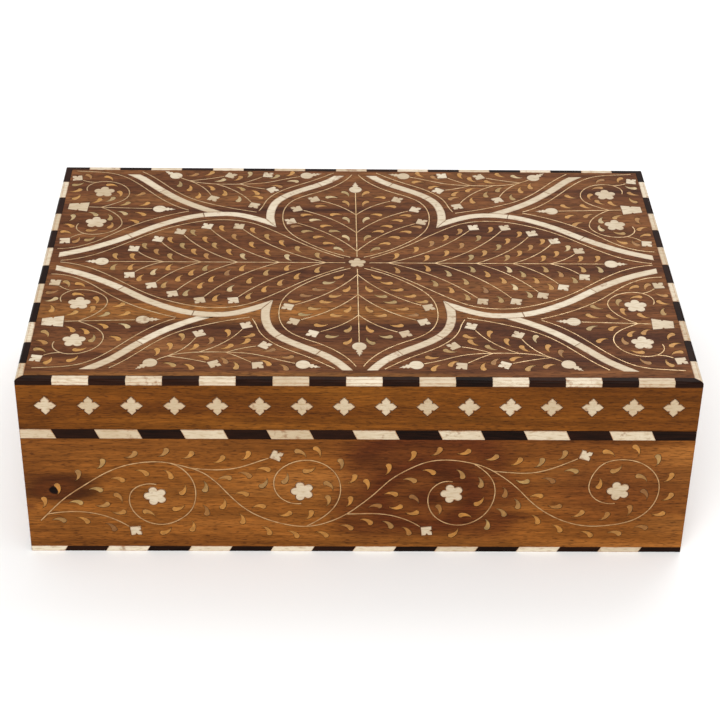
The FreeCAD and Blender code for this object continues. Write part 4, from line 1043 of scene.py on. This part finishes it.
@dataclass
class LiningPad:
    """Velvet over card: a thin pad whose pile rounds over at its edges, with shallow uneven rises."""

    node: str
    faces_up: bool
    edge_mm: float = 3.5
    columns: int = 120
    rows: int = 76
    edge_share: float = 0.35
    crown_share: float = 0.45
    rise_share: float = 0.2

    def build(self, velvet: bpy.types.Material) -> None:
        """Make the pad in the space of its solid.

        Args:
            velvet: The cloth's material.
        """
        low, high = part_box(self.node)
        thick = high.z - low.z
        across = np.linspace(low.x, high.x, self.columns)
        along = np.linspace(low.y, high.y, self.rows)
        x, y = np.meshgrid(across, along)
        inset = np.minimum.reduce([x - low.x, high.x - x, y - low.y, high.y - y]) / (self.edge_mm * MM)
        rounding = np.sqrt(np.clip(1 - (1 - np.clip(inset, 0, 1)) ** 2, 0, 1))
        depth = thick * (self.edge_share + rounding * (self.crown_share + self.rise_share * self.rises(x, y)))
        form = bmesh.new()
        soft = low.z + depth if self.faces_up else high.z - depth
        flat = np.full_like(x, low.z if self.faces_up else high.z)
        sheets = []
        for z in (soft, flat):
            sheets.append([[form.verts.new(co) for co in zip(*row)] for row in zip(x, y, z)])
        for sheet in sheets:
            for one, two in zip(sheet, sheet[1:]):
                for a, b, c, d in zip(one, one[1:], two[1:], two):
                    form.faces.new((a, b, c, d))
        loops = []
        for sheet in sheets:
            loops.append(sheet[0] + [row[-1] for row in sheet[1:]] + sheet[-1][-2::-1]
                         + [row[0] for row in sheet[-2:0:-1]])
        for a, b, c, d in zip(loops[0], loops[0][1:] + loops[0][:1], loops[1][1:] + loops[1][:1], loops[1]):
            form.faces.new((a, b, c, d))
        bmesh.ops.recalc_face_normals(form, faces=form.faces)
        for face in form.faces:
            face.smooth = True
        mesh = bpy.data.meshes.new(f"{self.node}_velvet")
        form.to_mesh(mesh)
        form.free()
        mesh.materials.append(velvet)
        place_piece(f"{self.node}_velvet", mesh, self.node)

    @staticmethod
    def rises(x: np.ndarray, y: np.ndarray) -> np.ndarray:
        """Shallow rolls of the pile, 75 to 105 mm apart, that cross and wander.

        Args:
            x: Places across the pad, in metres.
            y: Places along it.

        Returns:
            Heights from 0 to 1.
        """
        across = np.sin(x * 61 + 1.3 * np.sin(y * 37))
        along = np.sin(y * 83 + 1.1 * np.sin(x * 29 + 2))
        return 0.5 + 0.25 * (across + along)


@dataclass(frozen=True)
class Edging:
    """A ring of bone and ebony tiles let into an edge of the box."""

    name: str
    stained_rim_mm: float
    bone_age: tuple[float, float]
    seed: int
    ebony_age: tuple[float, float] = (0.0, 1.0)
    ease_mm: float = 0.12

    def dress(self, palette: Palette) -> None:
        """Cut and finish the tiles.

        Args:
            palette: The shared finishes.
        """
        kinds = (("bone", palette.bone, self.bone_age), ("ebony", palette.ebony, self.ebony_age))
        for number, (stuff, finish, age) in enumerate(kinds):
            tiles = CutPieces(f"{self.name}_{stuff}", stuff, ease_mm=self.ease_mm, rim_mm=self.stained_rim_mm,
                              age=age, seed=self.seed + number)
            tiles.dress(tiles.build(), finish, palette.lac)


@dataclass
class Base:
    """The box's lower part: four walls with their vines, the floor, two edgings and the lining."""

    honey: dict[str, str] = field(default_factory=lambda: {"dark": "693B14", "middle": "824D1D", "light": "925B28"})
    board_shift_mm: float = 170.0
    bone_age: tuple[float, float] = (0.0, 0.9)
    lac_line_mm: float = 0.18
    stained_rim_mm: float = 0.6
    bone_seed: int = 5
    leaf_seed: int = 11
    edgings: tuple[Edging, ...] = (
        Edging("rim_edging", 0.5, (0.4, 1.3), seed=7),
        Edging("foot_edging", 0.5, (-0.3, 0.6), seed=8),
    )

    def front_patches(self) -> tuple[Patch, ...]:
        """Tones of the front wall's wood.

        Returns:
            Heartwood in the middle and at the right, and a knot with its hole near the left end.
        """
        return (
            Patch((31, -100, 32), (55, 30, 44), "542810", 1.0, 0.4, arches=2.6),
            Patch((6, -100, 52), (14, 30, 9), "42200C", 0.4, 0.8),
            Patch((38, -100, 44), (8, 30, 8), "43200B", 0.5, 0.8),
            Patch((30, -100, 0), (75, 30, 16), "84501F", 0.8, 0.7),
            Patch((116, -100, 40), (60, 30, 36), "663616", 0.75, 0.8),
            Patch((-137, -100, 37), (24, 20, 10), "3A1A0A", 0.85, 0.6),
            Patch((-139, -100, 36.5), (13, 20, 5.5), "5E3012", 0.7, 0.5),
            Patch((-151, -100, 26), (4, 20, 3), "4A2410", 0.6, 0.9),
            Patch((-139, -100, 36), (3.2, 20, 2.6), "120805", 1.0, 0.3),
        )

    def dress(self, palette: Palette, setter: LeafSetter) -> None:
        """Finish the base.

        Args:
            palette: The shared finishes.
            setter: The tree that sets leaves.
        """
        for number, side in enumerate(WALLS):
            name = side.name.lower()
            board = Sheesham(f"waxed_sheesham_{name}_wall", side.grain, **self.honey, show=side,
                             patches=self.front_patches() if side is Side.FRONT else (),
                             offset_mm=self.board_shift_mm * number)
            wear(f"base_{name}_wall", board.material())
            wear(f"base_{name}_stems", palette.wall_wire)
            for kind in ("flowers", "blossoms"):
                pieces = CutPieces(f"base_{name}_{kind}", "bone", side, self.lac_line_mm,
                                   rim_mm=self.stained_rim_mm, age=self.bone_age, seed=self.bone_seed + number)
                pieces.dress(pieces.build(), palette.bone, palette.lac)
            Leaves(f"base_{name}_leaves", side, self.leaf_seed + number).build(setter)
        floor = Sheesham("planed_mango_floor", Grain.ALONG_X, "7A5C38", "94734A", "A98A60", gloss=(0.6, 0.75))
        wear("base_floor", floor.material())
        for edging in self.edgings:
            edging.dress(palette)
        LiningPad("floor_lining", True).build(palette.velvet)


@dataclass
class Lid:
    """The box's lid: the inlaid top panel, four rails with their quatrefoils, the edging and the lining."""

    red: dict[str, str] = field(default_factory=lambda: {"dark": "452413", "middle": "653C21", "light": "7D512E"})
    honey: dict[str, str] = field(default_factory=lambda: {"dark": "5A300D", "middle": "6D3D11", "light": "7D4A17"})
    rail_offset_mm: float = 90.0
    rail_shift_mm: float = 130.0
    rail_bone_age: tuple[float, float] = (0.65, 1.4)
    rail_lac_line_mm: float = 0.24
    rail_stained_rim_mm: float = 0.7
    rail_seed: int = 41
    bone_seed: int = 21
    leaf_seed: int = 31
    edging: Edging = Edging("lid_edging", 0.7, (0.0, 1.0), seed=4)

    def dress(self, palette: Palette, setter: LeafSetter) -> None:
        """Finish the lid.

        Args:
            palette: The shared finishes.
            setter: The tree that sets leaves.
        """
        self.dress_top(palette, setter)
        for number, side in enumerate(WALLS):
            name = side.name.lower()
            rail = Sheesham(f"waxed_sheesham_{name}_rail", side.grain, **self.honey, show=side,
                            offset_mm=self.rail_offset_mm + self.rail_shift_mm * number)
            wear(f"lid_{name}_rail", rail.material())
            pieces = CutPieces(f"lid_{name}_quatrefoils", "bone", side, self.rail_lac_line_mm,
                               rim_mm=self.rail_stained_rim_mm, age=self.rail_bone_age,
                               seed=self.rail_seed + number)
            pieces.dress(pieces.build(), palette.bone, palette.lac)
        self.edging.dress(palette)
        LiningPad("lid_lining", False).build(palette.velvet)

    def dress_top(self, palette: Palette, setter: LeafSetter) -> None:
        """Finish the top panel and its inlay.

        Args:
            palette: The shared finishes.
            setter: The tree that sets leaves.
        """
        sapwood = (
            Patch((-70, -43, 97), (200, 12, 40), "8F5C2A", 0.85, 0.9),
            Patch((-60, -96, 97), (170, 4, 40), "8A5A2A", 0.6, 0.8),
        )
        top = Sheesham("waxed_sheesham_top", Side.TOP.grain, **self.red, show=Side.TOP, patches=sapwood,
                       rings_mm=(60.0, 1.9), fibre_mm=(6.0, 0.7), pores_mm=(4.0, 0.8))
        wear("lid_top_panel", top.material())
        # The stems take the paler lid wire, whose extra paleness is painted highlight.
        wear("lid_top_stems", palette.lid_wire_painted_highlight)
        for kind, lac_line_mm, stained_rim_mm, age in (
                ("blossoms", 0.1, 0.35, (0.25, 1.2)), ("buds", 0.1, 0.25, (0.3, 1.0)),
                ("bands", 0.05, 0.5, (0.2, 0.8))):
            pieces = CutPieces(f"lid_top_{kind}", "bone", Side.TOP, lac_line_mm, rim_mm=stained_rim_mm, age=age,
                               seed=self.bone_seed)
            pieces.dress(pieces.build(), palette.bone, palette.lac)
        Leaves("lid_top_leaves", Side.TOP, self.leaf_seed).build(setter)


@dataclass
class Hinges:
    """Two brass butt hinges with their pins and slotted screws."""

    def dress(self, palette: Palette) -> None:
        """Finish the hinges.

        Args:
            palette: The shared finishes.
        """
        for node in sorted(frame["nodes"]):
            if "hinge" in node:
                wear(node, palette.brass)


@dataclass(frozen=True)
class Lamp:
    """A round softbox that is aimed at the box."""

    name: str
    spot_m: tuple[float, float, float]
    power_w: float
    size_m: float = 1.4
    aim_m: tuple[float, float, float] = (0.0, 0.0, 0.05)

    def build(self) -> None:
        """Hang the lamp."""
        data = bpy.data.lights.new(self.name, "AREA")
        data.shape = "DISK"
        data.size = self.size_m
        data.energy = self.power_w
        lamp = bpy.data.objects.new(self.name, data)
        lamp.location = self.spot_m
        lamp.rotation_euler = (Vector(self.aim_m) - Vector(self.spot_m)).to_track_quat("-Z", "Y").to_euler()
        bpy.context.scene.collection.objects.link(lamp)


@dataclass
class Studio:
    """White floor, soft light and the photograph's camera."""

    position_mm: tuple[float, float, float] = (-16.8, -786.5, 566.0)
    pitch_deg: float = 33.69
    yaw_deg: float = 1.38
    roll_deg: float = -1.02
    focal_px: float = 1882.0
    image_px: float = 720.0
    sensor_mm: float = 36.0
    floor_half_m: float = 8.0
    paper: str = "F7F7F6"
    room_light: float = 0.75
    lamps: tuple[Lamp, ...] = (
        Lamp("front_softbox", (-0.35, -1.5, 1.5), 26.0),
        Lamp("back_softbox", (0.5, 1.2, 1.7), 14.0),
    )

    def build(self) -> None:
        """Make the floor, the lights and the camera."""
        self.floor()
        self.lights()
        self.camera()

    def floor(self) -> None:
        """A wide white floor, which isn't part of the box."""
        half = self.floor_half_m
        mesh = bpy.data.meshes.new("studio_floor")
        corners = [(-half, -half, 0), (half, -half, 0), (half, half, 0), (-half, half, 0)]
        mesh.from_pydata(corners, [], [(0, 1, 2, 3)])
        material, shader, _ = start_material("white_paper")
        connect(shader, {"Base Color": colour(self.paper), "Roughness": 0.9})
        mesh.materials.append(material)
        floor = bpy.data.objects.new("studio_floor", mesh)
        bpy.context.scene.collection.objects.link(floor)

    def lights(self) -> None:
        """A white room with one wide lamp over the front and a weaker one behind."""
        scene = bpy.context.scene
        scene.view_settings.view_transform = "Standard"
        world = bpy.data.worlds.new("white_room")
        scene.world = world
        world.use_nodes = True
        connect(world.node_tree.nodes["Background"], {"Color": (1.0, 1.0, 1.0, 1.0), "Strength": self.room_light})
        for lamp in self.lamps:
            lamp.build()

    def camera(self) -> None:
        """The camera that the photograph's corners give."""
        pitch, yaw, roll = (math.radians(value) for value in (self.pitch_deg, self.yaw_deg, self.roll_deg))
        across = Vector((math.cos(yaw), -math.sin(yaw), 0))
        ahead = Vector((math.sin(yaw), math.cos(yaw), 0))
        upward = Vector((0, 0, 1))
        forward = ahead * math.cos(pitch) - upward * math.sin(pitch)
        rise = ahead * math.sin(pitch) + upward * math.cos(pitch)
        right = across * math.cos(roll) - rise * math.sin(roll)
        up = across * math.sin(roll) + rise * math.cos(roll)
        data = bpy.data.cameras.new("photo_camera")
        data.sensor_width = self.sensor_mm
        data.lens = self.sensor_mm * self.focal_px / self.image_px
        camera = bpy.data.objects.new("photo_camera", data)
        turn = Matrix((right, up, -forward)).transposed()
        camera.matrix_world = Matrix.Translation(Vector(self.position_mm) * MM) @ turn.to_4x4()
        bpy.context.scene.collection.objects.link(camera)
        bpy.context.scene.camera = camera


def main() -> None:
    """Dress the box and set up the studio."""
    logging.basicConfig(level=logging.INFO, format="%(message)s")
    palette = Palette()
    Base().dress(palette, LeafSetter(LeafPattern(lac_line_mm=0.09), palette.wall_horn, palette.lac))
    Lid().dress(palette, LeafSetter(LeafPattern(lac_line_mm=0.05), palette.lid_horn, palette.lac))
    Hinges().dress(palette)
    Studio().build()


if __name__ == "__main__":
    main()
